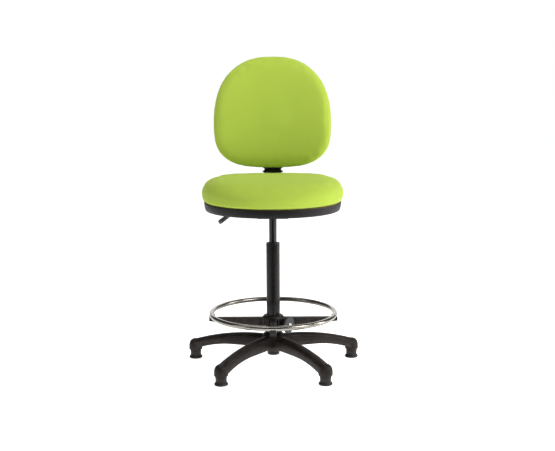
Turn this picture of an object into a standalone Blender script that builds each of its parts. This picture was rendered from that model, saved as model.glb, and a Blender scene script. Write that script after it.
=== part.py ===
"""Drafting chair: star base on glides, gas column, foot ring, tilting back on a sliding bar.

Metres, +Z up, the sitter facing -Y. The origin is on the floor under the middle of the chair's
bounding box, and every size below is measured from the floor and from the column's own axis.
"""

import math

import bmesh
import bpy
from mathutils import Matrix, Vector

FIT = 0.0003  # gap between pieces that touch
SLIDE = 0.0004  # gap between pieces that slide on each other
HOLE = 0.0003  # a fastener's hole is this much bigger in radius

# Star base.
ARM_COUNT = 5
GLIDE_CIRCLE = 0.309
ARM_WIDTH = 0.044
ARM_WALL = 0.004
ARM_CREST = 0.115
ARM_TIP_TOP = 0.07544  # height of the arm's top where it enters the boss
ARM_ARCH_START = 0.060
ARM_UNDERSIDE = 0.0695
ARM_TIP_UNDERSIDE = 0.03883
ARM_UNDER_START = 0.155
ARM_SETBACK = 0.006  # the channel ends this far short of the glide's axis, inside the boss
ARM_CROWN = 0.004  # how far the top's edges fall below its middle
HUB_WALL = 0.015
HUB_TOP = 0.123
HUB_BOTTOM = 0.055
BOSS_RADIUS = 0.025
BOSS_BOTTOM = 0.033
BOSS_SHOULDER = 0.056
BOSS_TOP = 0.072

# Glides.
GLIDE_FLANGE_RADIUS = 0.0245
GLIDE_BODY_RADIUS = 0.020
GLIDE_FLANGE_HEIGHT = 0.010
GLIDE_STEM_RADIUS = 0.0055
GLIDE_STEM_BOTTOM = 0.010
GLIDE_STEM_TOP = 0.062

# Column.
TUBE_RADIUS = 0.025
TUBE_WALL = 0.0018
TUBE_TOP = 0.456
TUBE_BOTTOM = 0.041
TUBE_FLOOR = 0.003
TAPER_START = 0.120
TUBE_TAPER = 0.0025  # how much the radius shrinks down to the tube's bottom
BUSH_LENGTH = 0.080
BUSH_LIP = 0.002
ROD_RADIUS = 0.005
ROD_TOP = 0.402
ROD_BOTTOM = 0.036
RACE_THICKNESS = 0.0025
BALL_RING_HEIGHT = 0.004
BUMPER_RADIUS = 0.015
BUMPER_HEIGHT = 0.020
PISTON_HEIGHT = 0.015
CYLINDER_RADIUS = 0.014
CYLINDER_WALL = 0.0028
CYLINDER_BOTTOM = 0.232
CYLINDER_TOP = 0.572
CYLINDER_HEAD = 0.022
CYLINDER_TIP_RADIUS = 0.0132
CYLINDER_TAPER = 0.027
PIN_RADIUS = 0.004

# Foot ring.
RING_RADIUS = 0.2255
RING_TUBE = 0.0095
RING_WALL = 0.0015
RING_HEIGHT = 0.195
SPIDER_WALL = 0.018
SPIDER_BOTTOM = 0.1305
SPIDER_TOP = 0.190
SPOKE_COUNT = 4
SPOKE_WIDTH = 0.022
SPOKE_WALL = 0.003
SPOKE_TOP = 0.180
SPOKE_ROOT_BOTTOM = 0.142
SPOKE_TIP_BOTTOM = 0.167
SPOKE_LENGTH = 0.235
CRADLE_LENGTH = 0.022
CRADLE_BOTTOM = 0.171
CRADLE_TOP = 0.190
SCREW_RADIUS = 0.003
SCREW_HEAD_RADIUS = 0.0055
SCREW_HEAD_HEIGHT = 0.0035

# Hand knobs, shared by the foot ring's clamp and the back's clamp.
KNOB_RADIUS = 0.031
KNOB_THICKNESS = 0.012
KNOB_NECK_RADIUS = 0.013
KNOB_NECK = 0.003
KNOB_BORE_DEPTH = 0.008
STUD_RADIUS = 0.004
PAD_RADIUS = 0.0065
PAD_THICKNESS = 0.005
RING_KNOB_AZIMUTH = math.radians(54)
RING_KNOB_HEIGHT = 0.160
RING_BOSS_RADIUS = 0.011
RING_BOSS_LENGTH = 0.016  # how far the knob's boss stands out of the hub
PAD_TRAVEL = 0.0035

# Seat.
SEAT_CENTRE_Y = -0.012
SEAT_HALF_WIDTH = 0.2465
SEAT_FRONT = 0.231
SEAT_REAR = 0.217
SEAT_FRONT_POWER = 2.1
SEAT_REAR_POWER = 2.9
SEAT_SKIRT_BOTTOM = 0.583
SEAT_RIM_TOP = 0.612
SEAT_SHELL_WALL = 0.003
SEAT_BOARD_THICKNESS = 0.012
CUSHION_BULGE = 0.0055
CUSHION_TOP = 0.688
CUSHION_EDGE = 0.026
WATERFALL = 0.020  # drop of the cushion's front edge
SHELL_OPENING_HALF = 0.092
SHELL_OPENING_FRONT = -0.092
SHELL_OPENING_REAR = 0.142

# Seat mechanism.
TRAY_HALF = 0.052
TRAY_FRONT = -0.075
TRAY_REAR = 0.118
TRAY_BOTTOM = 0.556
SHEET = 0.0025
FLANGE = 0.024
SOCKET_RADIUS = 0.019
SOCKET_BOTTOM = 0.549
SOCKET_TOP = 0.574
BOLT_RADIUS = 0.004
BOLT_HEAD_RADIUS = 0.0065
BOLT_HEAD_HEIGHT = 0.005
SEAT_BOLT_Y = (-0.050, 0.080)

# Height lever.
LEVER_PIVOT_X = -0.030
LEVER_PIVOT_Z = 0.584
LEVER_ROD_RADIUS = 0.0045
LEVER_INNER_END = 0.004
LEVER_BEND = (-0.150, 0.565)
HANDLE_SLOPE = math.radians(37)
HANDLE_LENGTH = 0.052
HANDLE_WIDTH = 0.028
HANDLE_THICKNESS = 0.0175
HANDLE_TIP = (-0.195, 0.531)
ROD_INSERT = 0.020  # how far the rod's end stays from the handle's tip
LEVER_PIN_RADIUS = 0.0022
LUG_HALF_LENGTH = 0.006
LUG_THICKNESS = 0.003

# Back tilt.
TILT_PIVOT_Y = 0.110
TILT_PIVOT_Z = 0.575
TILT_PIN_RADIUS = 0.005
BRACKET_HALF = 0.047
BRACKET_FRONT = 0.088
BRACKET_REAR = 0.170
BRACKET_BOTTOM = 0.562
BRACKET_TOP = 0.590
BRACKET_WALL = 0.003
SPRING_RADIUS = 0.009
SPRING_WIRE = 0.0016
SPRING_TURNS = 6
SPRING_LUG_Y = 0.024

# Back bar.
BAR_WIDTH = 0.050
BAR_THICKNESS = 0.008
BAR_START = 0.120
BAR_FOOT_Y = 0.2255  # where the bar's two straight runs would meet
BAR_BEND = 0.035
BAR_TOP = 0.880
RAKE = math.radians(6)
STEM_BOLT_Y = (0.136, 0.156)
GAITER_BOTTOM = 0.608
GAITER_FOLDS = 6
GAITER_PEAK = (0.040, 0.018)
GAITER_VALLEY = (0.0315, 0.0115)
GAITER_WALL = 0.0015

# Backrest, in the frame of the raked bar: +Y is the chair's rear, +Z runs up the bar.
BACK_CENTRE = 0.866  # height of the backrest's widest line
BACK_HALF_WIDTH = 0.2185
BACK_UP = 0.249
BACK_DOWN = 0.159
BACK_UP_POWER = 2.4
BACK_DOWN_POWER = 3.1
CUSHION_GAP = 0.0025
BACK_DISH = 0.036  # how far the side edges come forward
BACK_FRONT = -0.080
BACK_BOARD_FRONT = -0.0225
BACK_BOARD_THICKNESS = 0.008
BACK_BOARD_MARGIN = 0.013
BACK_SHELL_REAR = 0.030
BACK_SHELL_WALL = 0.003
CARRIER_HALF_LENGTH = 0.042
CARRIER_CENTRE = -0.080  # below the backrest's widest line
CARRIER_WALL = 0.006
CARRIER_EAR = 0.018
CARRIER_EAR_THICKNESS = 0.004
BOARD_SCREW_LENGTH = 0.010

ROUND = 28  # sides of the large turned pieces
FINE = 16  # sides of the small ones

# What the column tube's size sets.
TAPER_END_RADIUS = TUBE_RADIUS - TUBE_TAPER
BEARING_RADIUS = TUBE_RADIUS - 0.0055
HUB_RADIUS = TUBE_RADIUS + HUB_WALL
ARM_ROOT = TUBE_RADIUS + 0.005
SPIDER_RADIUS = TUBE_RADIUS + SPIDER_WALL
RING_BOSS_REACH = SPIDER_RADIUS + RING_BOSS_LENGTH
ARM_END = GLIDE_CIRCLE - ARM_SETBACK

ARM_REACH = GLIDE_CIRCLE + BOSS_RADIUS
# The origin is midway between the rear arm's end and the front arms' ends.
COLUMN_Y = -(ARM_REACH - (GLIDE_CIRCLE * math.cos(math.pi / ARM_COUNT) + BOSS_RADIUS)) / 2


# Materials.

def material(name, colour, roughness, metallic=0.0):
    made = bpy.data.materials.new(name)
    made.use_nodes = True
    shader = made.node_tree.nodes["Principled BSDF"]
    shader.inputs["Base Color"].default_value = (*colour, 1.0)
    shader.inputs["Roughness"].default_value = roughness
    shader.inputs["Metallic"].default_value = metallic
    made.diffuse_color = (*colour, 1.0)
    return made


for leftover in list(bpy.data.objects):
    bpy.data.objects.remove(leftover)

FABRIC = material("green_fabric", (0.38, 0.52, 0.06), 0.9)
NYLON = material("black_nylon", (0.030, 0.029, 0.030), 0.5)
SHELL = material("black_shell_plastic", (0.012, 0.011, 0.013), 0.5)
CHROME = material("chrome", (0.75, 0.75, 0.76), 0.08, 1.0)
BLACK_STEEL = material("black_painted_steel", (0.015, 0.014, 0.015), 0.35, 0.2)
STEEL = material("bright_steel", (0.55, 0.55, 0.56), 0.3, 1.0)
RUBBER = material("black_rubber", (0.02, 0.02, 0.02), 0.8)
PLYWOOD = material("plywood", (0.50, 0.36, 0.20), 0.7)
LINER = material("white_acetal", (0.75, 0.75, 0.72), 0.4)


# Shared makers.

def empty(name, parent, location=(0, 0, 0), rotation=(0, 0, 0)):
    made = bpy.data.objects.new(name, None)
    made.location = location
    made.rotation_euler = rotation
    made.parent = parent
    bpy.context.scene.collection.objects.link(made)
    return made


def add(name, mesh_builder, finish, parent, location=(0, 0, 0), rotation=(0, 0, 0)):
    """Turns a bmesh into an object under its body's empty."""
    bmesh.ops.recalc_face_normals(mesh_builder, faces=mesh_builder.faces)
    mesh = bpy.data.meshes.new(name)
    mesh_builder.to_mesh(mesh)
    mesh_builder.free()
    mesh.shade_smooth()
    mesh.set_sharp_from_angle(angle=math.radians(40))
    mesh.materials.append(finish)
    made = bpy.data.objects.new(name, mesh)
    made.location = location
    made.rotation_euler = rotation
    made.parent = parent
    bpy.context.scene.collection.objects.link(made)
    return made


def skin(rings, closed=False):
    """Joins rings of equal count; closed runs the last ring back to the first, else both ends are capped."""
    made = bmesh.new()
    loops = [[made.verts.new(point) for point in ring] for ring in rings]
    count = len(loops[0])
    pairs = list(zip(loops, loops[1:] + loops[:1])) if closed else list(zip(loops, loops[1:]))
    for first, second in pairs:
        for i in range(count):
            j = (i + 1) % count
            made.faces.new((first[i], first[j], second[j], second[i]))
    if not closed:
        made.faces.new(loops[0])
        made.faces.new(loops[-1])
    return made


def turned(profile, sides=ROUND, closed=False):
    """Spins (radius, height) points about Z; an open profile starts and ends on the axis."""
    made = bmesh.new()
    verts = [made.verts.new((radius, 0, height)) for radius, height in profile]
    pairs = list(zip(verts, verts[1:]))
    if closed:
        pairs.append((verts[-1], verts[0]))
    edges = [made.edges.new(pair) for pair in pairs]
    bmesh.ops.spin(
        made, geom=verts + edges, cent=(0, 0, 0), axis=(0, 0, 1),
        angle=math.tau, steps=sides, use_merge=True,
    )
    bmesh.ops.remove_doubles(made, verts=made.verts, dist=1e-6)
    bmesh.ops.dissolve_degenerate(made, edges=made.edges, dist=1e-6)
    return made


def rod(radius, low, high, sides=FINE):
    return turned([(0, low), (radius, low), (radius, high), (0, high)], sides)


def washer(inner, outer, low, high, sides=ROUND):
    return turned([(inner, low), (outer, low), (outer, high), (inner, high)], sides, closed=True)


def block(low, high):
    made = bmesh.new()
    bmesh.ops.create_cube(made, size=1.0)
    low, high = Vector(low), Vector(high)
    bmesh.ops.scale(made, vec=high - low, verts=made.verts)
    bmesh.ops.translate(made, vec=(low + high) / 2, verts=made.verts)
    return made


def combine(target, mesh_builder, operation, location=(0, 0, 0), rotation=(0, 0, 0)):
    """Unites or cuts the target with a hidden tool shape placed in the target's own parent frame."""
    tool = add(f"tool_{target.name}_{len(target.modifiers)}", mesh_builder, target.data.materials[0],
               target.parent, location, rotation)
    tool.hide_render = True
    tool.display_type = "WIRE"
    step = target.modifiers.new(operation.lower(), "BOOLEAN")
    step.operation = operation
    step.solver = "EXACT"
    step.object = tool
    return tool


def cut(target, mesh_builder, location=(0, 0, 0), rotation=(0, 0, 0)):
    return combine(target, mesh_builder, "DIFFERENCE", location, rotation)


def unite(target, mesh_builder, location=(0, 0, 0), rotation=(0, 0, 0)):
    return combine(target, mesh_builder, "UNION", location, rotation)


def around(radius, azimuth, height=0.0):
    """A point at an azimuth counted from the chair's front towards +X."""
    return Vector((radius * math.sin(azimuth), -radius * math.cos(azimuth), height))


def rounded_box(half_x, half_y, corner, height, steps=1):
    """A ring of points around a rectangle with round corners."""
    points = []
    for quarter in range(4):
        sign_x = (1, -1, -1, 1)[quarter]
        sign_y = (1, 1, -1, -1)[quarter]
        for step in range(steps + 1):
            angle = (quarter + step / steps) * math.pi / 2
            points.append((
                sign_x * (half_x - corner) + corner * math.cos(angle),
                sign_y * (half_y - corner) + corner * math.sin(angle),
                height,
            ))
    return points


def superellipse(angle, half_width, ahead, behind, ahead_power, behind_power):
    """A point on an outline whose two ends have their own depth and fullness."""
    c, s = math.cos(angle), math.sin(angle)
    depth, power = (behind, behind_power) if s > 0 else (ahead, ahead_power)
    x = math.copysign(half_width * abs(c) ** (2 / power), c)
    return x, math.copysign(depth * abs(s) ** (2 / power), s)


chair = empty("chair", None, (0, COLUMN_Y, 0))


# Star base: five channel arms arched down from a tapered hub to a boss over each glide.

def arched(radius, start, crest, tip):
    """A height that stays level to the start, then falls to the tip's along a parabola."""
    share = max(0.0, radius - start) / (ARM_END - start)
    return crest - (crest - tip) * share ** 2


def arm_section(radius):
    """An inverted channel: a crowned top, two walls and an open underside."""
    half = ARM_WIDTH / 2
    inner = half - ARM_WALL
    top = arched(radius, ARM_ARCH_START, ARM_CREST, ARM_TIP_TOP)
    low = arched(radius, ARM_UNDER_START, ARM_UNDERSIDE, ARM_TIP_UNDERSIDE)
    shoulder = top - 2.5 * ARM_CROWN
    outline = [(-half, low), (-half, shoulder), (-0.8 * half, top - ARM_CROWN), (-0.4 * half, top)]
    outline += [(0.4 * half, top), (0.8 * half, top - ARM_CROWN), (half, shoulder), (half, low)]
    outline += [(inner, low), (inner, shoulder - ARM_WALL / 2), (-inner, shoulder - ARM_WALL / 2), (-inner, low)]
    return [(side, -radius, height) for side, height in outline]


def star_arm():
    stations = [ARM_ROOT + (ARM_END - ARM_ROOT) * step / 6 for step in range(7)]
    return skin([arm_section(radius) for radius in stations])


def tube_radius(height):
    """The column tube's outer radius, straight above and tapered inside the hub."""
    share = min(1.0, max(0.0, (TAPER_START - height) / (TAPER_START - TUBE_BOTTOM)))
    return TUBE_RADIUS + (TAPER_END_RADIUS - TUBE_RADIUS) * share


def star_base():
    def bore(height):
        return tube_radius(height) + FIT

    hub = turned([
        (0, HUB_BOTTOM), (HUB_RADIUS - 0.005, HUB_BOTTOM), (HUB_RADIUS, HUB_BOTTOM + 0.012),
        (HUB_RADIUS, HUB_TOP - 0.005), (HUB_RADIUS - 0.005, HUB_TOP), (0, HUB_TOP),
    ])
    base = add("star_base", hub, NYLON, chair)
    stem_hole = GLIDE_STEM_RADIUS + HOLE
    boss_profile = [
        (0, BOSS_BOTTOM), (BOSS_RADIUS, BOSS_BOTTOM), (BOSS_RADIUS, BOSS_SHOULDER),
        (0.94 * BOSS_RADIUS, BOSS_SHOULDER + 0.007), (0.72 * BOSS_RADIUS, BOSS_TOP - 0.004), (0, BOSS_TOP),
    ]
    turns = [math.pi - math.tau * i / ARM_COUNT for i in range(ARM_COUNT)]
    for turn in turns:
        unite(base, star_arm(), rotation=(0, 0, turn))
        unite(base, turned(boss_profile, FINE), around(GLIDE_CIRCLE, turn), (0, 0, turn))
    cut(base, turned([
        (0, TUBE_BOTTOM), (bore(TUBE_BOTTOM), TUBE_BOTTOM), (bore(TAPER_START), TAPER_START),
        (bore(TAPER_START), TAPER_START + 0.02), (0, TAPER_START + 0.02),
    ]))
    for turn in turns:
        cut(base, rod(stem_hole, BOSS_BOTTOM - 0.01, GLIDE_STEM_TOP + HOLE, 12), around(GLIDE_CIRCLE, turn))
    return turns


def glides(turns):
    """Bell glides, each on its own steel stem."""
    hole = GLIDE_STEM_RADIUS + HOLE
    top = BOSS_BOTTOM - FIT
    profile = [
        (0, 0), (GLIDE_FLANGE_RADIUS - 0.002, 0), (GLIDE_FLANGE_RADIUS, 0.002),
        (GLIDE_FLANGE_RADIUS, GLIDE_FLANGE_HEIGHT - 0.003), (GLIDE_BODY_RADIUS + 0.001, GLIDE_FLANGE_HEIGHT),
        (GLIDE_BODY_RADIUS, GLIDE_FLANGE_HEIGHT + 0.004), (GLIDE_BODY_RADIUS, top), (hole, top),
        (hole, GLIDE_STEM_BOTTOM - HOLE), (0, GLIDE_STEM_BOTTOM - HOLE),
    ]
    for number, turn in enumerate(turns, 1):
        add(f"glide_{number}", turned(profile, 14), NYLON, chair, around(GLIDE_CIRCLE, turn))
        stem = rod(GLIDE_STEM_RADIUS, GLIDE_STEM_BOTTOM, GLIDE_STEM_TOP, 12)
        add(f"glide_stem_{number}", stem, STEEL, chair, around(GLIDE_CIRCLE, turn))


glides(star_base())


# Column: a tapered steel tube with a liner, a thrust bearing and a gas spring standing on it.

def column():
    inner = TUBE_RADIUS - TUBE_WALL
    rod_hole = ROD_RADIUS + 0.001
    floor = TUBE_BOTTOM + TUBE_FLOOR
    tube = turned([
        (TUBE_RADIUS, TUBE_TOP), (TUBE_RADIUS, TAPER_START), (TAPER_END_RADIUS, TUBE_BOTTOM),
        (rod_hole, TUBE_BOTTOM), (rod_hole, floor), (tube_radius(floor) - TUBE_WALL, floor),
        (inner, TAPER_START), (inner, TUBE_TOP),
    ], closed=True)
    add("column_tube", tube, BLACK_STEEL, chair)
    bore = CYLINDER_RADIUS + SLIDE
    lip = TUBE_TOP + FIT
    bush = turned([
        (bore, lip + BUSH_LIP), (TUBE_RADIUS - 0.0002, lip + BUSH_LIP), (TUBE_RADIUS - 0.0002, lip),
        (inner - FIT, lip), (inner - FIT, TUBE_TOP - BUSH_LENGTH), (bore, TUBE_TOP - BUSH_LENGTH),
    ], closed=True)
    add("guide_bush", bush, LINER, chair)
    lower = floor + FIT
    balls = lower + RACE_THICKNESS + FIT
    add("bearing_race_lower", washer(rod_hole, BEARING_RADIUS, lower, lower + RACE_THICKNESS, FINE), STEEL, chair)
    middle = (rod_hole + BEARING_RADIUS) / 2
    half = BALL_RING_HEIGHT / 2
    ring = turned([
        (middle - 0.003, balls + half), (middle, balls), (middle + 0.003, balls + half),
        (middle, balls + BALL_RING_HEIGHT),
    ], FINE, closed=True)
    add("bearing_ball_ring", ring, STEEL, chair)
    return balls + BALL_RING_HEIGHT + FIT


def gas_spring_rod(race):
    """What turns on the bearing: race, bumper, rod, piston and the clip under the tube."""
    turning = empty("rod_body", chair)
    around_rod = ROD_RADIUS + FIT
    bumper = race + RACE_THICKNESS + FIT
    add("bearing_race_upper", washer(around_rod, BEARING_RADIUS, race, race + RACE_THICKNESS, FINE), STEEL, turning)
    add("rubber_bumper", washer(around_rod, BUMPER_RADIUS, bumper, bumper + BUMPER_HEIGHT, FINE), RUBBER, turning)
    add("piston_rod", rod(ROD_RADIUS, ROD_BOTTOM, ROD_TOP, 14), STEEL, turning)
    clip = TUBE_BOTTOM - FIT
    add("rod_clip", washer(around_rod, 0.010, clip - 0.002, clip, FINE), STEEL, turning)
    piston_outer = CYLINDER_RADIUS - CYLINDER_WALL - SLIDE
    piston_low = ROD_TOP - PISTON_HEIGHT - 0.002
    add("gas_piston", washer(around_rod, piston_outer, piston_low, piston_low + PISTON_HEIGHT, FINE), STEEL, turning)


def gas_cylinder(seat_body):
    bore = CYLINDER_RADIUS - CYLINDER_WALL
    rod_hole = ROD_RADIUS + SLIDE
    pin_hole = PIN_RADIUS + SLIDE
    roof = CYLINDER_TOP - CYLINDER_HEAD
    floor = CYLINDER_BOTTOM + 0.003
    cylinder = turned([
        (rod_hole, CYLINDER_BOTTOM), (CYLINDER_RADIUS, CYLINDER_BOTTOM),
        (CYLINDER_RADIUS, CYLINDER_TOP - CYLINDER_TAPER), (CYLINDER_TIP_RADIUS, CYLINDER_TOP),
        (pin_hole, CYLINDER_TOP), (pin_hole, roof), (bore, roof), (bore, floor), (rod_hole, floor),
    ], 28, closed=True)
    add("gas_cylinder", cylinder, BLACK_STEEL, seat_body)
    pin_top = LEVER_PIVOT_Z - LEVER_ROD_RADIUS - FIT
    add("release_pin", rod(PIN_RADIUS, roof - 0.002, pin_top, 14), STEEL, empty("pin_body", seat_body))


gas_spring_rod(column())
seat_body = empty("seat_body", chair)
gas_cylinder(seat_body)


# Foot ring: a chromed tube on four channel spokes, clamped to the column by a hand knob.

def spoke():
    half, inner = SPOKE_WIDTH / 2, SPOKE_WIDTH / 2 - SPOKE_WALL
    rings = []
    for radius, low in ((SPIDER_RADIUS - 0.008, SPOKE_ROOT_BOTTOM), (SPOKE_LENGTH, SPOKE_TIP_BOTTOM)):
        under = SPOKE_TOP - SPOKE_WALL
        outline = [(-half, low), (-half, SPOKE_TOP), (half, SPOKE_TOP), (half, low)]
        outline += [(inner, low), (inner, under), (-inner, under), (-inner, low)]
        rings.append([(side, -radius, height) for side, height in outline])
    return skin(rings)


def ring_torus(tube, sides=10):
    made = bmesh.new()
    circle = [math.tau * i / sides for i in range(sides)]
    verts = [made.verts.new((RING_RADIUS + tube * math.cos(a), 0, RING_HEIGHT + tube * math.sin(a))) for a in circle]
    edges = [made.edges.new((verts[i], verts[(i + 1) % sides])) for i in range(sides)]
    bmesh.ops.spin(made, geom=verts + edges, cent=(0, 0, 0), axis=(0, 0, 1),
                   angle=math.tau, steps=36, use_merge=True)
    return made


def knob():
    """A round hand knob; its own Z is the screw's axis, outward."""
    bore = STUD_RADIUS + HOLE
    top = KNOB_NECK + KNOB_THICKNESS
    return turned([
        (0, KNOB_BORE_DEPTH), (bore, KNOB_BORE_DEPTH), (bore, 0), (KNOB_NECK_RADIUS, 0),
        (KNOB_NECK_RADIUS, KNOB_NECK), (KNOB_RADIUS - 0.004, KNOB_NECK), (KNOB_RADIUS, KNOB_NECK + 0.004),
        (KNOB_RADIUS, top - 0.005), (KNOB_RADIUS - 0.005, top), (0, top),
    ], 20)


def clamp(prefix, body, pad_start, knob_start):
    """Pad, stud and knob along the body's own Z; the pad slides and the knob turns on it."""
    pad_body = empty(f"{prefix}_pad_body", body)
    knob_body = empty(f"{prefix}_knob_body", pad_body)
    stud_start = pad_start + PAD_THICKNESS + FIT
    add(f"{prefix}_pad", rod(PAD_RADIUS, pad_start, pad_start + PAD_THICKNESS), LINER, pad_body)
    stud_end = knob_start + KNOB_BORE_DEPTH - FIT
    add(f"{prefix}_stud", rod(STUD_RADIUS, stud_start, stud_end, 14), STEEL, knob_body)
    add(f"{prefix}_knob", knob(), NYLON, knob_body, (0, 0, knob_start))


def foot_ring():
    body = empty("footring_body", chair)
    bore = TUBE_RADIUS + SLIDE
    hub = turned([
        (bore, SPIDER_BOTTOM), (SPIDER_RADIUS - 0.003, SPIDER_BOTTOM), (SPIDER_RADIUS, SPIDER_BOTTOM + 0.003),
        (SPIDER_RADIUS, SPIDER_TOP - 0.003), (SPIDER_RADIUS - 0.003, SPIDER_TOP), (bore, SPIDER_TOP),
    ], closed=True)
    spider = add("footring_hub", hub, NYLON, body)
    screw_hole = SCREW_RADIUS + HOLE
    cradle_low = (-SPOKE_WIDTH / 2 + 0.001, -SPOKE_LENGTH, CRADLE_BOTTOM)
    cradle_high = (SPOKE_WIDTH / 2 - 0.001, CRADLE_LENGTH - SPOKE_LENGTH, CRADLE_TOP)
    turns = [math.tau * i / SPOKE_COUNT for i in range(SPOKE_COUNT)]
    for turn in turns:
        unite(spider, spoke(), rotation=(0, 0, turn))
        unite(spider, block(cradle_low, cradle_high), rotation=(0, 0, turn))
    facing = (math.pi / 2, 0, RING_KNOB_AZIMUTH)
    outward = (0, 0, RING_KNOB_HEIGHT)
    unite(spider, rod(RING_BOSS_RADIUS, SPIDER_RADIUS - 0.007, RING_BOSS_REACH), outward, facing)
    cut(spider, rod(STUD_RADIUS + HOLE, TUBE_RADIUS - 0.005, RING_BOSS_REACH + 0.01, 14), outward, facing)
    pocket_end = TUBE_RADIUS + FIT + PAD_THICKNESS + PAD_TRAVEL
    cut(spider, rod(PAD_RADIUS + HOLE, TUBE_RADIUS - 0.010, pocket_end), outward, facing)
    cut(spider, ring_torus(RING_TUBE + FIT))
    ring = add("footring_tube", ring_torus(RING_TUBE), CHROME, body)
    cut(ring, ring_torus(RING_TUBE - RING_WALL, 6))
    head_top = CRADLE_BOTTOM - FIT
    screw = [
        (0, head_top - SCREW_HEAD_HEIGHT), (SCREW_HEAD_RADIUS, head_top - SCREW_HEAD_HEIGHT),
        (SCREW_HEAD_RADIUS, head_top), (SCREW_RADIUS, head_top), (SCREW_RADIUS, RING_HEIGHT - 0.002),
        (0, RING_HEIGHT - 0.002),
    ]
    for number, turn in enumerate(turns, 1):
        seat = around(RING_RADIUS, turn)
        cut(spider, rod(screw_hole, 0.150, SPIDER_TOP + 0.01, 12), seat)
        cut(ring, rod(screw_hole, 0.150, RING_HEIGHT, 12), seat)
        add(f"ring_screw_{number}", turned(screw, 12), STEEL, body, seat)
    clamp_frame = empty("ring_clamp_frame", body, outward, facing)
    clamp("ring_clamp", clamp_frame, TUBE_RADIUS + FIT, RING_BOSS_REACH + PAD_TRAVEL / 2)


foot_ring()


# Seat: a pressed tray on the gas spring carries a board, its shell underneath and the cushion.

def seat_ring(inset, height, drop=0.0, count=32):
    """The seat's outline at a height, its front lowered by drop."""
    points = []
    for i in range(count):
        x, y = superellipse(
            math.tau * i / count, SEAT_HALF_WIDTH - inset, SEAT_FRONT - inset, SEAT_REAR - inset,
            SEAT_FRONT_POWER, SEAT_REAR_POWER,
        )
        ahead = max(0.0, -y / SEAT_FRONT)
        points.append((x, y + SEAT_CENTRE_Y, height - drop * ahead ** 3))
    return points


def seat_panels():
    wall = SEAT_SHELL_WALL
    board_top = SEAT_RIM_TOP + FIT
    board_low = board_top - SEAT_BOARD_THICKNESS
    floor = board_low - FIT
    shell = add("seat_shell", skin([
        seat_ring(0.120, floor), seat_ring(wall, floor), seat_ring(wall, SEAT_RIM_TOP), seat_ring(0, SEAT_RIM_TOP),
        seat_ring(0.0015, (SEAT_RIM_TOP + SEAT_SKIRT_BOTTOM) / 2), seat_ring(0.005, SEAT_SKIRT_BOTTOM),
        seat_ring(0.005 + wall, SEAT_SKIRT_BOTTOM), seat_ring(0.005 + wall, floor - wall),
        seat_ring(0.120, floor - wall),
    ]), SHELL, seat_body)
    opening = block(
        (-SHELL_OPENING_HALF, SHELL_OPENING_FRONT, floor - 0.02), (SHELL_OPENING_HALF, SHELL_OPENING_REAR, floor + 0.01)
    )
    cut(shell, opening)
    board = add("seat_board", skin([
        seat_ring(wall + 0.001, board_low), seat_ring(wall + 0.001, board_top),
    ]), PLYWOOD, seat_body)
    low = board_top + FIT
    top, edge, bulge = CUSHION_TOP, CUSHION_EDGE, -CUSHION_BULGE
    add("seat_cushion", skin([
        seat_ring(0.006, low), seat_ring(0, low + 0.004), seat_ring(bulge, low + 0.022),
        seat_ring(bulge, top - 1.3 * edge, WATERFALL * 0.4), seat_ring(0.3 * edge + bulge, top - 0.45 * edge, WATERFALL),
        seat_ring(edge + bulge, top - 0.08 * edge, WATERFALL), seat_ring(2.8 * edge, top, WATERFALL * 0.6),
        seat_ring(0.180, top),
    ]), FABRIC, seat_body)
    return board, board_low


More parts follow.
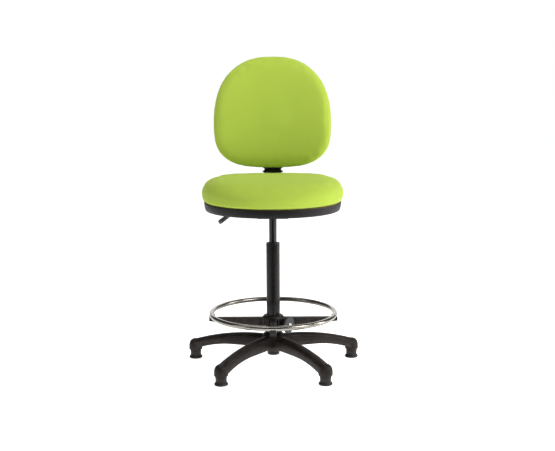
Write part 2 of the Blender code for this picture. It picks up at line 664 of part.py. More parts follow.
def tray(board, board_low):
    """A folded steel tray, its side flanges bolted up to the board."""
    inner, outer = TRAY_HALF, TRAY_HALF + SHEET
    top = board_low - FIT
    reach = outer + FLANGE
    outline = [(-reach, top - SHEET), (-outer, top - SHEET), (-outer, TRAY_BOTTOM), (outer, TRAY_BOTTOM)]
    outline += [(outer, top - SHEET), (reach, top - SHEET), (reach, top), (inner, top)]
    outline += [(inner, TRAY_BOTTOM + SHEET), (-inner, TRAY_BOTTOM + SHEET), (-inner, top), (-reach, top)]
    rings = [[(x, y, z) for x, z in outline] for y in (TRAY_FRONT, TRAY_REAR)]
    housing = add("mechanism_tray", skin(rings), BLACK_STEEL, seat_body)
    unite(housing, block((-inner - 0.001, TRAY_FRONT, TRAY_BOTTOM + 0.001), (inner + 0.001, TRAY_FRONT + SHEET, top)))
    floor = TRAY_BOTTOM + SHEET
    lug_y = LEVER_ROD_RADIUS + SLIDE
    for side in (-1, 1):
        near, far = sorted((side * lug_y, side * (lug_y + LUG_THICKNESS)))
        unite(housing, block(
            (LEVER_PIVOT_X - LUG_HALF_LENGTH, near, floor - 0.001),
            (LEVER_PIVOT_X + LUG_HALF_LENGTH, far, LEVER_PIVOT_Z + 0.006),
        ))
    unite(housing, block((-0.015, SPRING_LUG_Y, floor - 0.001), (0.015, SPRING_LUG_Y + LUG_THICKNESS, BRACKET_TOP)))
    slot_half = LEVER_ROD_RADIUS + 0.0015
    cut(housing, block((-outer - 0.01, -slot_half, 0.572), (-inner + 0.004, slot_half, 0.594)))
    cut(housing, rod(SOCKET_RADIUS + FIT, 0.550, 0.565, 28))
    lying_y = (math.pi / 2, 0, 0)
    cut(housing, rod(LEVER_PIN_RADIUS + HOLE, -0.015, 0.015, 12), (LEVER_PIVOT_X, 0, LEVER_PIVOT_Z), lying_y)
    lying_x = (0, math.pi / 2, 0)
    pivot = (0, TILT_PIVOT_Y, TILT_PIVOT_Z)
    cut(housing, rod(TILT_PIN_RADIUS + HOLE, -0.08, 0.08, 16), pivot, lying_x)
    pin_half = outer + 0.003
    add("tilt_pin", rod(TILT_PIN_RADIUS, -pin_half, pin_half, 16), STEEL, seat_body, pivot, lying_x)
    taper_bore = CYLINDER_RADIUS + FIT
    add("taper_socket", turned([
        (taper_bore, SOCKET_BOTTOM), (SOCKET_RADIUS, SOCKET_BOTTOM), (SOCKET_RADIUS, SOCKET_TOP),
        (CYLINDER_TIP_RADIUS + FIT, SOCKET_TOP),
    ], 28, closed=True), BLACK_STEEL, seat_body)
    head_top = top - SHEET - FIT
    bolt_end = board_low + 0.010
    bolt = [
        (0, head_top - BOLT_HEAD_HEIGHT), (BOLT_HEAD_RADIUS, head_top - BOLT_HEAD_HEIGHT),
        (BOLT_HEAD_RADIUS, head_top), (BOLT_RADIUS, head_top), (BOLT_RADIUS, bolt_end), (0, bolt_end),
    ]
    places = [(side * (outer + FLANGE / 2), y) for side in (-1, 1) for y in SEAT_BOLT_Y]
    for number, (x, y) in enumerate(places, 1):
        hole = BOLT_RADIUS + HOLE
        cut(housing, rod(hole, top - 0.01, top + 0.01, 12), (x, y, 0))
        cut(board, rod(hole, board_low - 0.01, bolt_end + FIT, 12), (x, y, 0))
        add(f"seat_bolt_{number}", turned(bolt, 12), STEEL, seat_body, (x, y, 0))


def height_lever():
    """A bent rod over the release pin, ending in a moulded handle; its origin is the pivot."""
    pivot = Vector((LEVER_PIVOT_X, 0, LEVER_PIVOT_Z))
    body = empty("lever_body", seat_body, pivot)
    bend = Vector((LEVER_BEND[0], 0, LEVER_BEND[1])) - pivot
    tip = Vector((HANDLE_TIP[0], 0, HANDLE_TIP[1])) - pivot
    along = Vector((math.cos(HANDLE_SLOPE), 0, math.sin(HANDLE_SLOPE)))
    rod_end = tip + along * ROD_INSERT
    path = [Vector((LEVER_INNER_END, 0, LEVER_PIVOT_Z)) - pivot, Vector((-0.008, 0, 0)), bend, rod_end]
    curve = bpy.data.curves.new("lever_path", "CURVE")
    curve.dimensions = "3D"
    curve.bevel_depth = LEVER_ROD_RADIUS
    curve.bevel_resolution = 2
    curve.use_fill_caps = True
    spline = curve.splines.new("POLY")
    spline.points.add(len(path) - 1)
    for point, place in zip(spline.points, path):
        point.co = (*place, 1)
    guide = bpy.data.objects.new("lever_guide", curve)
    bpy.context.scene.collection.objects.link(guide)
    bent = bmesh.new()
    bent.from_mesh(bpy.data.meshes.new_from_object(guide))
    bpy.data.objects.remove(guide)
    bmesh.ops.remove_doubles(bent, verts=bent.verts, dist=1e-6)
    lever = add("lever_rod", bent, STEEL, body)
    lying_y = (math.pi / 2, 0, 0)
    cut(lever, rod(LEVER_PIN_RADIUS + HOLE, -0.015, 0.015, 12), (0, 0, 0), lying_y)
    pin_half = LEVER_ROD_RADIUS + SLIDE + LUG_THICKNESS + 0.001
    add("lever_pin", rod(LEVER_PIN_RADIUS, -pin_half, pin_half, 12), STEEL, seat_body, pivot, lying_y)
    low = (0, -HANDLE_WIDTH / 2, -HANDLE_THICKNESS / 2)
    high = (HANDLE_LENGTH, HANDLE_WIDTH / 2, HANDLE_THICKNESS / 2)
    grip = block(low, high)
    bmesh.ops.bevel(grip, geom=grip.edges, offset=0.004, segments=2, profile=0.5, affect="EDGES")
    handle = add("lever_handle", grip, NYLON, body, tip, (0, -HANDLE_SLOPE, 0))
    cut(handle, rod(LEVER_ROD_RADIUS + FIT, ROD_INSERT - FIT, 0.20), tip, (0, math.pi / 2 - HANDLE_SLOPE, 0))


height_lever()
tray(*seat_panels())


# Back support: a bracket on the tilt pin holds the flat steel bar, which bends up behind the seat.

tilt_body = empty("back_tilt_body", seat_body, (0, TILT_PIVOT_Y, TILT_PIVOT_Z))


def from_pivot(x, y, z):
    return (x, y - TILT_PIVOT_Y, z - TILT_PIVOT_Z)


def bar_middle():
    """Height of the middle of the bar's flat run, resting on the bracket's floor."""
    return BRACKET_BOTTOM + BRACKET_WALL + FIT + BAR_THICKNESS / 2


def bar_path():
    """The bar's middle line in the YZ plane, with the direction it runs at each point."""
    turn = math.pi / 2 - RAKE
    setback = BAR_BEND * math.tan(turn / 2)
    height = bar_middle()
    start_y = BAR_FOOT_Y - setback
    path = [(BAR_START, height, 0.0), (start_y, height, 0.0)]
    for step in range(1, 7):
        angle = turn * step / 6
        path.append((start_y + BAR_BEND * math.sin(angle), height + BAR_BEND * (1 - math.cos(angle)), angle))
    rise = BAR_TOP - height
    path.append((BAR_FOOT_Y + rise * math.tan(RAKE), BAR_TOP, turn))
    return path


def back_bar():
    wall = BRACKET_WALL
    bracket = add("back_bracket", block(
        from_pivot(-BRACKET_HALF, BRACKET_FRONT, BRACKET_BOTTOM), from_pivot(BRACKET_HALF, BRACKET_REAR, BRACKET_TOP)
    ), BLACK_STEEL, tilt_body)
    cut(bracket, block(
        from_pivot(-BRACKET_HALF + wall, BRACKET_FRONT + wall, BRACKET_BOTTOM + wall),
        from_pivot(BRACKET_HALF - wall, BRACKET_REAR + 0.01, BRACKET_TOP + 0.01),
    ))
    cut(bracket, rod(TILT_PIN_RADIUS + HOLE, -0.08, 0.08, 16), (0, 0, 0), (0, math.pi / 2, 0))
    rings = []
    for y, z, angle in bar_path():
        across = Vector((0, -math.sin(angle), math.cos(angle))) * BAR_THICKNESS / 2
        middle = Vector(from_pivot(0, y, z))
        side = Vector((BAR_WIDTH / 2, 0, 0))
        rings.append([middle - side - across, middle + side - across, middle + side + across, middle - side + across])
    bar = add("back_bar", skin(rings), BLACK_STEEL, tilt_body)
    head_top = BRACKET_BOTTOM - FIT
    bolt_end = bar_middle() + BAR_THICKNESS / 2 + 0.004
    bolt = [
        (0, head_top - BOLT_HEAD_HEIGHT), (BOLT_HEAD_RADIUS, head_top - BOLT_HEAD_HEIGHT),
        (BOLT_HEAD_RADIUS, head_top), (BOLT_RADIUS, head_top), (BOLT_RADIUS, bolt_end), (0, bolt_end),
    ]
    for number, y in enumerate(STEM_BOLT_Y, 1):
        foot = from_pivot(0, y, 0)
        hole = BOLT_RADIUS + HOLE
        cut(bracket, rod(hole, BRACKET_BOTTOM - 0.01, BRACKET_BOTTOM + 0.01, 12), foot)
        cut(bar, rod(hole, BRACKET_BOTTOM - 0.01, BRACKET_TOP, 12), foot)
        add(f"bar_bolt_{number}", turned(bolt, 12), STEEL, tilt_body, foot)


def tilt_spring():
    """A coil between the tray's lug and the bracket's nose."""
    start = SPRING_LUG_Y + LUG_THICKNESS + SPRING_WIRE + FIT
    end = BRACKET_FRONT - SPRING_WIRE - FIT
    curve = bpy.data.curves.new("tilt_spring", "CURVE")
    curve.dimensions = "3D"
    curve.bevel_depth = SPRING_WIRE
    curve.bevel_resolution = 0
    curve.use_fill_caps = True
    curve.materials.append(STEEL)
    steps = SPRING_TURNS * 8
    spline = curve.splines.new("POLY")
    spline.points.add(steps)
    for i, point in enumerate(spline.points):
        angle = math.tau * i / 8
        point.co = (
            SPRING_RADIUS * math.cos(angle), start + (end - start) * i / steps,
            SPRING_RADIUS * math.sin(angle), 1,
        )
    spring = bpy.data.objects.new("tilt_spring", curve)
    spring.location = (0, 0, TILT_PIVOT_Z)
    spring.parent = seat_body
    bpy.context.scene.collection.objects.link(spring)


back_bar()
tilt_spring()


# Backrest: board, cushion and rear shell on a carrier that slides up the bar.

bar_rise = BACK_CENTRE - bar_middle()
back_frame = empty(
    "back_frame", tilt_body,
    from_pivot(0, BAR_FOOT_Y + bar_rise * math.tan(RAKE), BACK_CENTRE), (-RAKE, 0, 0),
)
backrest_body = empty("backrest_body", back_frame)


def back_ring(inset, depth, count=32):
    """The backrest's outline at a depth, its side edges brought forward by the dish."""
    points = []
    for i in range(count):
        x, z = superellipse(
            math.tau * i / count, BACK_HALF_WIDTH - inset, BACK_DOWN - inset, BACK_UP - inset,
            BACK_DOWN_POWER, BACK_UP_POWER,
        )
        points.append((x, depth - BACK_DISH * (x / BACK_HALF_WIDTH) ** 2, z))
    return points


def back_panels():
    board_rear = BACK_BOARD_FRONT + BACK_BOARD_THICKNESS
    board = add("back_board", skin([
        back_ring(0.150, BACK_BOARD_FRONT), back_ring(0.080, BACK_BOARD_FRONT),
        back_ring(BACK_BOARD_MARGIN, BACK_BOARD_FRONT), back_ring(BACK_BOARD_MARGIN, board_rear),
        back_ring(0.080, board_rear), back_ring(0.150, board_rear),
    ]), PLYWOOD, backrest_body)
    rear = BACK_BOARD_FRONT - CUSHION_GAP
    front = BACK_FRONT
    add("back_cushion", skin([
        back_ring(0.150, rear), back_ring(0.080, rear), back_ring(BACK_BOARD_MARGIN, rear), back_ring(0, rear - 0.008),
        back_ring(0, rear - 0.026), back_ring(0.007, rear - 0.039), back_ring(0.022, front + 0.008),
        back_ring(0.060, front + 0.001), back_ring(0.150, front),
    ]), FABRIC, backrest_body)
    wall = BACK_SHELL_WALL
    lip = BACK_BOARD_FRONT
    outer = ((0.003, lip), (0.002, lip + 0.012), (0.014, 0.006), (0.045, 0.022), (0.090, BACK_SHELL_REAR - 0.002),
             (0.150, BACK_SHELL_REAR))
    rings = [back_ring(inset, depth) for inset, depth in outer]
    rings += [back_ring(inset + wall * (index < 4), depth - wall * (index > 1))
              for index, (inset, depth) in reversed(list(enumerate(outer)))]
    shell = add("back_shell", skin(rings[5::-1] + rings[:5:-1]), SHELL, backrest_body)
    slot_half = GAITER_PEAK[0] + 0.002
    cut(shell, block((-slot_half, BACK_BOARD_FRONT + 0.006, -BACK_DOWN - 0.01), (slot_half, 0.021, -BACK_DOWN + 0.028)))
    return board, shell


def carrier(board, shell):
    """A sleeve round the bar with two ears screwed to the board, and the clamp behind it."""
    gap = SLIDE
    half_x = BAR_WIDTH / 2 + gap + CARRIER_WALL
    half_y = BAR_THICKNESS / 2 + gap + CARRIER_WALL
    low, high = CARRIER_CENTRE - CARRIER_HALF_LENGTH, CARRIER_CENTRE + CARRIER_HALF_LENGTH
    board_rear = BACK_BOARD_FRONT + BACK_BOARD_THICKNESS
    ear_front = board_rear + FIT
    sleeve = add("back_carrier", block((-half_x, ear_front, low), (half_x, half_y, high)), BLACK_STEEL, backrest_body)
    ear_x = half_x + CARRIER_EAR
    unite(sleeve, block(
        (-ear_x, ear_front, CARRIER_CENTRE - 0.020),
        (ear_x, ear_front + CARRIER_EAR_THICKNESS, CARRIER_CENTRE + 0.020),
    ))
    cut(sleeve, block(
        (-BAR_WIDTH / 2 - gap, -BAR_THICKNESS / 2 - gap, low - 0.01),
        (BAR_WIDTH / 2 + gap, BAR_THICKNESS / 2 + gap, high + 0.01),
    ))
    facing = (-math.pi / 2, 0, 0)
    centre = (0, 0, CARRIER_CENTRE)
    cut(sleeve, rod(STUD_RADIUS + HOLE, 0.004, 0.03, 14), centre, facing)
    pad_start = BAR_THICKNESS / 2 + FIT
    boss_end = pad_start + PAD_THICKNESS + PAD_TRAVEL + 0.004
    boss = rod(PAD_RADIUS + 0.004, half_y - 0.002, boss_end)
    unite(sleeve, boss, centre, facing)
    cut(sleeve, rod(STUD_RADIUS + HOLE, 0.004, 0.03, 14), centre, facing)
    cut(sleeve, rod(PAD_RADIUS + HOLE, 0.003, pad_start + PAD_THICKNESS + PAD_TRAVEL), centre, facing)
    cut(shell, rod(STUD_RADIUS + 0.003, 0.006, 0.06, 16), centre, facing)
    clamp_frame = empty("back_clamp_frame", backrest_body, centre, facing)
    clamp("back_clamp", clamp_frame, pad_start, BACK_SHELL_REAR + 0.002)
    head = ear_front + CARRIER_EAR_THICKNESS + FIT
    screw = [
        (0, -head - SCREW_HEAD_HEIGHT), (SCREW_HEAD_RADIUS, -head - SCREW_HEAD_HEIGHT),
        (SCREW_HEAD_RADIUS, -head), (SCREW_RADIUS, -head), (SCREW_RADIUS, -head + BOARD_SCREW_LENGTH),
        (0, -head + BOARD_SCREW_LENGTH),
    ]
    forward = (math.pi / 2, 0, 0)
    for number, side in enumerate((-1, 1), 1):
        place = (side * (half_x + CARRIER_EAR / 2), 0, CARRIER_CENTRE)
        for piece in (sleeve, board):
            cut(piece, rod(SCREW_RADIUS + HOLE, -head - 0.01, -head + BOARD_SCREW_LENGTH + FIT, 12), place, forward)
        add(f"board_screw_{number}", turned(screw, 12), STEEL, backrest_body, place, forward)


def gaiter():
    """Rubber bellows round the bar, from above its bend to the shell's underside."""
    low = (GAITER_BOTTOM - BACK_CENTRE) / math.cos(RAKE)
    high = -BACK_DOWN - 0.002
    levels = 2 * GAITER_FOLDS + 1
    outer, inner = [], []
    for level in range(levels):
        height = low + (high - low) * level / (levels - 1)
        half_x, half_y = GAITER_VALLEY if level % 2 else GAITER_PEAK
        outer.append(rounded_box(half_x, half_y, 0.009, height))
        inner.append(rounded_box(half_x - GAITER_WALL, half_y - GAITER_WALL, 0.0075, height))
    add("bar_gaiter", skin(outer + inner[::-1], closed=True), RUBBER, back_frame)


carrier(*back_panels())
gaiter()
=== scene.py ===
"""Drafting chair: the finished look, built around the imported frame. Metres, +Z up, the sitter facing -Y."""
import math

import bmesh
import bpy
from mathutils import Matrix, Vector


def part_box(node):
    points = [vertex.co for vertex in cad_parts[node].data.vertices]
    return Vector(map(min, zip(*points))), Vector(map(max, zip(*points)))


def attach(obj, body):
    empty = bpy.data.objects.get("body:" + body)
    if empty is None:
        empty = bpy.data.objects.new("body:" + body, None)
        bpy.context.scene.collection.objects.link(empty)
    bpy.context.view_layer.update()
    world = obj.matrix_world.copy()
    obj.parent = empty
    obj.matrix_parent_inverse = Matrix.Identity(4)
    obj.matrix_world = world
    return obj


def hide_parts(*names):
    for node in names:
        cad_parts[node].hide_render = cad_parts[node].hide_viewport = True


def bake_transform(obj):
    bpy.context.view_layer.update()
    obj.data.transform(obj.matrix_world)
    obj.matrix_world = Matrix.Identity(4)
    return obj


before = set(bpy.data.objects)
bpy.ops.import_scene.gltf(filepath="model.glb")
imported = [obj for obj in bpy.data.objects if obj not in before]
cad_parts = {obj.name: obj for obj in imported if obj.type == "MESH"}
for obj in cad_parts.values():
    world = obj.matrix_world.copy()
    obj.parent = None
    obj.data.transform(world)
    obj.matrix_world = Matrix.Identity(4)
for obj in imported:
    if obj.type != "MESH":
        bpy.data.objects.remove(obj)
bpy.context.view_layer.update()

# Camera: a long lens a little above the seat, square to the front of the chair.
camera_place = (0.017, -4.0195, 1.189)
camera_dip, camera_roll = 9.517, -0.281
camera_data = bpy.data.cameras.new("camera")
camera_data.lens = 72.41
camera_data.sensor_width = 36.0
camera = bpy.data.objects.new("camera", camera_data)
camera.matrix_world = (
    Matrix.Translation(camera_place)
    @ Matrix.Rotation(math.radians(90 - camera_dip), 4, "X")
    @ Matrix.Rotation(math.radians(camera_roll), 4, "Z")
)
bpy.context.scene.collection.objects.link(camera)
bpy.context.scene.camera = camera


# Studio: a seamless white sweep of card inside a round lit wall, and a black flag on the floor in
# front that shows only in reflections. Soft boxes light it: a key at the right, a rim and weak fills.
def smoothed(piece, sharp):
    """Shades the piece smooth, keeping creases sharper than this many degrees."""
    piece.data.shade_smooth()
    piece.data.set_sharp_from_angle(angle=math.radians(sharp))
    return piece


def finished(name, bm, material, matrix=Matrix(), sharp=35):
    """Puts the mesh in place in its own coordinates, so the object stays at the origin."""
    bm.transform(matrix)
    mesh = bpy.data.meshes.new(name)
    bm.to_mesh(mesh)
    bm.free()
    mesh.materials.append(material)
    made = bpy.data.objects.new(name, mesh)
    bpy.context.scene.collection.objects.link(made)
    return smoothed(made, sharp)


def finish(name, roughness=0.5, metallic=0.0, specular=0.5):
    """A new material with its shader's plain values set on the shader itself."""
    made = bpy.data.materials.new(name)
    made.use_nodes = True
    shader = made.node_tree.nodes["Principled BSDF"]
    shader.inputs["Roughness"].default_value = roughness
    shader.inputs["Metallic"].default_value = metallic
    shader.inputs["Specular IOR Level"].default_value = specular
    return made, shader


def card_finish(name, tone, roughness=0.5, specular=0.5, glow=0.0):
    """Flat paper, which can give out a light of its own."""
    made, shader = finish(name, roughness, specular=specular)
    shader.inputs["Base Color"].default_value = (*tone, 1)
    shader.inputs["Emission Color"].default_value = (1, 1, 1, 1)
    shader.inputs["Emission Strength"].default_value = glow
    return made


def sweep_mesh(half, start, radius, rise, low):
    """The floor, run back level, up round a bend and on as the backdrop."""
    bm = bmesh.new()
    edge = bm.edges.new([bm.verts.new((side, -half, low)) for side in (-half, half)])
    bends = [math.pi / 2 * step / 12 for step in range(13)]
    runs = [(start + radius * math.sin(a), radius * (1 - math.cos(a))) for a in bends]
    runs.append((start + radius, radius + rise))
    for y, z in runs:
        moved = bmesh.ops.extrude_edge_only(bm, edges=[edge])["geom"]
        for vert in moved:
            if isinstance(vert, bmesh.types.BMVert):
                vert.co.y, vert.co.z = y, z + low
        edge = next(item for item in moved if isinstance(item, bmesh.types.BMEdge))
    bmesh.ops.recalc_face_normals(bm, faces=bm.faces)
    return bm


def hidden_from(piece, *rays):
    """Keeps the piece out of the kinds of ray named."""
    for ray in rays:
        setattr(piece, f"visible_{ray}", False)


white_card = card_finish("white_card", (0.93, 0.93, 0.93), 0.9, 0.1, 0.88)
sweep = finished("studio_floor", sweep_mesh(half=9.0, start=12.0, radius=3.0, rise=4.0, low=-0.0006),
                 white_card)

wall_radius, wall_height = 8.8, 12.0
wall_mesh = bmesh.new()
bmesh.ops.create_cone(wall_mesh, segments=96, radius1=wall_radius, radius2=wall_radius, depth=wall_height)
bmesh.ops.translate(wall_mesh, verts=wall_mesh.verts, vec=(0, 0, wall_height / 2))
studio_wall = finished("studio_wall", wall_mesh, card_finish("lit_wall", (0, 0, 0), specular=0.0, glow=1.0))
hidden_from(studio_wall, "diffuse", "glossy", "shadow")

flag_half, flag_centre = (1.3, 1.625, 1.0), (0, -2.775, 0.004)
flag_mesh = bmesh.new()
bmesh.ops.create_grid(flag_mesh, x_segments=1, y_segments=1, size=1.0)
bmesh.ops.scale(flag_mesh, verts=flag_mesh.verts, vec=flag_half)
bmesh.ops.translate(flag_mesh, verts=flag_mesh.verts, vec=flag_centre)
front_flag = finished("front_flag", flag_mesh, card_finish("black_card", (0.008, 0.007, 0.006), 0.9))
hidden_from(front_flag, "camera", "diffuse", "shadow")


def soft_box(name, place, target, width, height, power, colour=(1, 1, 1)):
    data = bpy.data.lights.new(name, "AREA")
    data.shape = "RECTANGLE"
    data.size = width
    data.size_y = height
    data.energy = power
    data.color = colour
    light = bpy.data.objects.new(name, data)
    light.location = place
    light.rotation_euler = (Vector(target) - Vector(place)).to_track_quat("-Z", "Y").to_euler()
    bpy.context.scene.collection.objects.link(light)


soft_box("key_box", (2.5, -1.9, 2.3), (0, 0, 0.6), 1.5, 2.2, 80, (1.0, 0.985, 0.95))
soft_box("rim_box", (3.0, 0.1, 1.2), (0, 0, 0.6), 0.5, 2.2, 34, (1.0, 0.99, 0.97))
soft_box("fill_box", (-2.9, -1.6, 1.5), (0, 0, 0.55), 1.2, 2.2, 9, (1.0, 0.99, 0.97))
soft_box("top_box", (-0.3, -0.1, 3.1), (0, 0, 0.5), 2.2, 2.0, 44)
soft_box("back_box", (0.4, 2.6, 2.0), (0, 0, 0.6), 2.4, 1.6, 14)

world = bpy.data.worlds.new("studio_air")
world.use_nodes = True
world.node_tree.nodes["Background"].inputs["Color"].default_value = (1, 1, 1, 1)
world.node_tree.nodes["Background"].inputs["Strength"].default_value = 0.08
bpy.context.scene.world = world
bpy.context.scene.view_settings.view_transform = "Standard"


# Star base: one glass-filled nylon moulding. Five crowned channel arms run out of a tapered hub
# and turn down into a round boss over each glide; the undersides are open and ribbed.
socket_low, socket_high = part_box("column_tube")
axis_y = (socket_low.y + socket_high.y) / 2
tube_radius = (socket_high.x - socket_low.x) / 2
glide_boxes = [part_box(f"glide_{number}") for number in range(1, 6)]
glide_centres = [(low + high) / 2 for low, high in glide_boxes]
glide_circle = (glide_centres[0].xy - Vector((0, axis_y))).length
at_column = Matrix.Translation((0, axis_y, 0))
base_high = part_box("star_base")[1]
boss_radius = 0.025
arm_half = 0.022


def hoop(bm, places):
    """A closed hoop of edges through the given places."""
    made = bmesh.ops.create_circle(bm, segments=len(places), radius=1.0)["verts"]
    for vert, place in zip(made, places):
        vert.co = place
    return list({edge for vert in made for edge in vert.link_edges})


def bridged(hoops, looped=False):
    """A skin over hoops of equal count, its ends filled, or bridged to each other."""
    bm = bmesh.new()
    rings = [hoop(bm, places) for places in hoops]
    for first, second in zip(rings, rings[1:] + (rings[:1] if looped else [])):
        bmesh.ops.bridge_loops(bm, edges=first + second)
    if not looped:
        for ring in (rings[0], rings[-1]):
            bmesh.ops.contextual_create(bm, geom=ring)
    bmesh.ops.recalc_face_normals(bm, faces=bm.faces)
    return bm


def lathe(profile, sides=48, closed=False):
    """Spins (radius, height) points about Z."""
    bm = bmesh.new()
    verts = [bm.verts.new((radius, 0, height)) for radius, height in profile]
    edges = [bm.edges.new(pair) for pair in zip(verts, verts[1:])]
    if closed:
        edges.append(bm.edges.new((verts[-1], verts[0])))
    bmesh.ops.spin(bm, geom=verts + edges, cent=(0, 0, 0), axis=(0, 0, 1),
                   angle=math.tau, steps=sides, use_merge=True)
    bmesh.ops.remove_doubles(bm, verts=bm.verts, dist=1e-6)
    bmesh.ops.recalc_face_normals(bm, faces=bm.faces)
    return bm


def rounded(profile, radius, steps=4):
    """The same open profile with each inner corner turned into a small arc."""
    points = [Vector(point) for point in profile]
    made = [points[0]]
    for before, corner, after in zip(points, points[1:], points[2:]):
        to_before, to_after = before - corner, after - corner
        reach = min(radius, 0.45 * to_before.length, 0.45 * to_after.length)
        start = corner + to_before.normalized() * reach
        end = corner + to_after.normalized() * reach
        for step in range(steps + 1):
            t = step / steps
            made.append(start * (1 - t) ** 2 + corner * 2 * t * (1 - t) + end * t * t)
    made.append(points[-1])
    return [tuple(point) for point in made]


def box_mesh(low, high, round_edges=0.0):
    """A box between two corners, its edges rounded if asked."""
    bm = bmesh.new()
    low, high = Vector(low), Vector(high)
    bmesh.ops.create_cube(bm, size=1.0)
    bmesh.ops.scale(bm, vec=high - low, verts=bm.verts)
    bmesh.ops.translate(bm, vec=(low + high) / 2, verts=bm.verts)
    if round_edges:
        bmesh.ops.bevel(bm, geom=bm.edges, offset=round_edges, segments=3, profile=0.5, affect="EDGES",
                        material=-1)
    return bm


def modified(piece, kind, **settings):
    """Adds a modifier and sets it up."""
    step = piece.modifiers.new(kind.lower(), kind)
    for key, value in settings.items():
        setattr(step, key, value)
    return step


def applied(piece):
    """Bakes the modifiers into the mesh."""
    graph = bpy.context.evaluated_depsgraph_get()
    mesh = bpy.data.meshes.new_from_object(piece.evaluated_get(graph))
    piece.modifiers.clear()
    piece.data = mesh
    return piece


def cut_by(piece, bm, matrix=Matrix(), operation="DIFFERENCE"):
    """Cuts the piece with another mesh, or joins the two."""
    cutter = finished("cutter", bm, piece.data.materials[0], matrix)
    modified(piece, "BOOLEAN", operation=operation, solver="MANIFOLD", object=cutter)
    applied(piece)
    bpy.data.objects.remove(cutter)


def round_column(turn, out=0.0):
    """A place turned about the column's axis and moved out from it."""
    return at_column @ Matrix.Rotation(turn, 4, "Z") @ Matrix.Translation((0, -out, 0))


def group(name, inputs, outputs=(("Colour", "c"), ("Roughness", "f"), ("Height", "f"))):
    """A node group that takes a place and other values, with its two ends' sockets."""
    kinds = {"f": "NodeSocketFloat", "c": "NodeSocketColor", "v": "NodeSocketVector"}
    tree = bpy.data.node_groups.new(name, "ShaderNodeTree")
    for label, kind, value in [("Position", "v", (0, 0, 0)), *inputs]:
        socket = tree.interface.new_socket(label, in_out="INPUT", socket_type=kinds[kind])
        socket.default_value = value
    for label, kind in outputs:
        tree.interface.new_socket(label, in_out="OUTPUT", socket_type=kinds[kind])
    return tree, tree.nodes.new("NodeGroupInput").outputs, tree.nodes.new("NodeGroupOutput").inputs


def give(tree, out, **results):
    """Links what a group works out to its outputs."""
    for label, value in results.items():
        tree.links.new(value, out[label])


def add_node(tree, kind, inputs, **settings):
    """A node with its settings made and its inputs set or linked; gives its outputs."""
    made = tree.nodes.new(kind)
    for key, value in settings.items():
        setattr(made, key, value)
    for label, value in inputs.items():
        if isinstance(value, (float, tuple)):
            made.inputs[label].default_value = value
        else:
            tree.links.new(value, made.inputs[label])
    return made.outputs


def texture_noise(tree, vector, scale, detail=3.0, rough=0.55):
    settings = {"Vector": vector, "Scale": scale, "Detail": detail, "Roughness": rough}
    return add_node(tree, "ShaderNodeTexNoise", settings)["Fac"]


def ranged(tree, value, low, high, out_low, out_high):
    limits = {"From Min": low, "From Max": high, "To Min": out_low, "To Max": out_high}
    return add_node(tree, "ShaderNodeMapRange", {"Value": value, **limits},
                    interpolation_type="SMOOTHSTEP")["Result"]


def calc(tree, operation, first, second=0.0):
    return add_node(tree, "ShaderNodeMath", {0: first, 1: second}, operation=operation)["Value"]


def mixed(tree, share, first, second):
    return add_node(tree, "ShaderNodeMix", {"Factor": share, "A": first, "B": second},
                    data_type="RGBA")["Result"]


def rubbed_group():
    """Where hands and feet rub a piece: its sharp places, broken up by streaks."""
    tree, given, out = group("rubbed_edges", [("Amount", "f", 0.5)], (("Mask", "f"), ("Streak", "f")))
    streak = texture_noise(tree, given["Position"], 55.0, 5.0, 0.65)
    pointiness = add_node(tree, "ShaderNodeNewGeometry", {})["Pointiness"]
    pointed = ranged(tree, pointiness, 0.505, 0.56, 0.0, 1.0)
    amount = calc(tree, "MULTIPLY", pointed, given["Amount"])
    mask = calc(tree, "MULTIPLY", amount, ranged(tree, streak, 0.35, 0.6, 0.25, 1.0))
    give(tree, out, Mask=mask, Streak=streak)
    return tree


rubbed_edges = rubbed_group()


def moulded_group():
    """Spark-eroded mould texture: pebbled grain, dull and bright patches, rubbed edges and dust."""
    tree, given, out = group("moulded_plastic", [
        ("Grain", "f", 1500.0), ("Wear", "f", 0.5), ("Body", "c", (0.03, 0.03, 0.03, 1)),
        ("Rubbed", "c", (0.08, 0.08, 0.08, 1)),
    ])
    position = given["Position"]
    scaled = add_node(tree, "ShaderNodeVectorMath", {0: position, "Scale": given["Grain"]},
                      operation="SCALE")["Vector"]
    pebble = add_node(tree, "ShaderNodeTexVoronoi", {"Vector": scaled, "Scale": 1.0},
                      feature="SMOOTH_F1")["Distance"]
    fine = texture_noise(tree, scaled, 2.1, 2.0)
    broad = texture_noise(tree, position, 9.0, 4.0)
    rubbed = add_node(tree, "ShaderNodeGroup", {"Position": position, "Amount": given["Wear"]},
                      node_tree=rubbed_edges)
    edge, streak = rubbed["Mask"], rubbed["Streak"]
    normal = add_node(tree, "ShaderNodeNewGeometry", {})["Normal"]
    upward = add_node(tree, "ShaderNodeSeparateXYZ", {"Vector": normal})["Z"]
    up = ranged(tree, upward, 0.35, 1.0, 0.0, 0.10)
    dust = calc(tree, "MULTIPLY", up, ranged(tree, broad, 0.35, 0.7, 0.1, 1.0))
    tint = mixed(tree, ranged(tree, broad, 0.3, 0.7, 0.0, 0.28), given["Body"], given["Rubbed"])
    tint = mixed(tree, dust, tint, given["Rubbed"])
    tint = mixed(tree, edge, tint, given["Rubbed"])
    rough = ranged(tree, streak, 0.3, 0.7, 0.42, 0.56)
    rough = calc(tree, "SUBTRACT", rough, calc(tree, "MULTIPLY", edge, 0.12))
    rough = calc(tree, "ADD", rough, dust)
    height = calc(tree, "ADD", pebble, calc(tree, "MULTIPLY", fine, 0.5))
    give(tree, out, Colour=tint, Roughness=rough, Height=height)
    return tree


moulded = moulded_group()


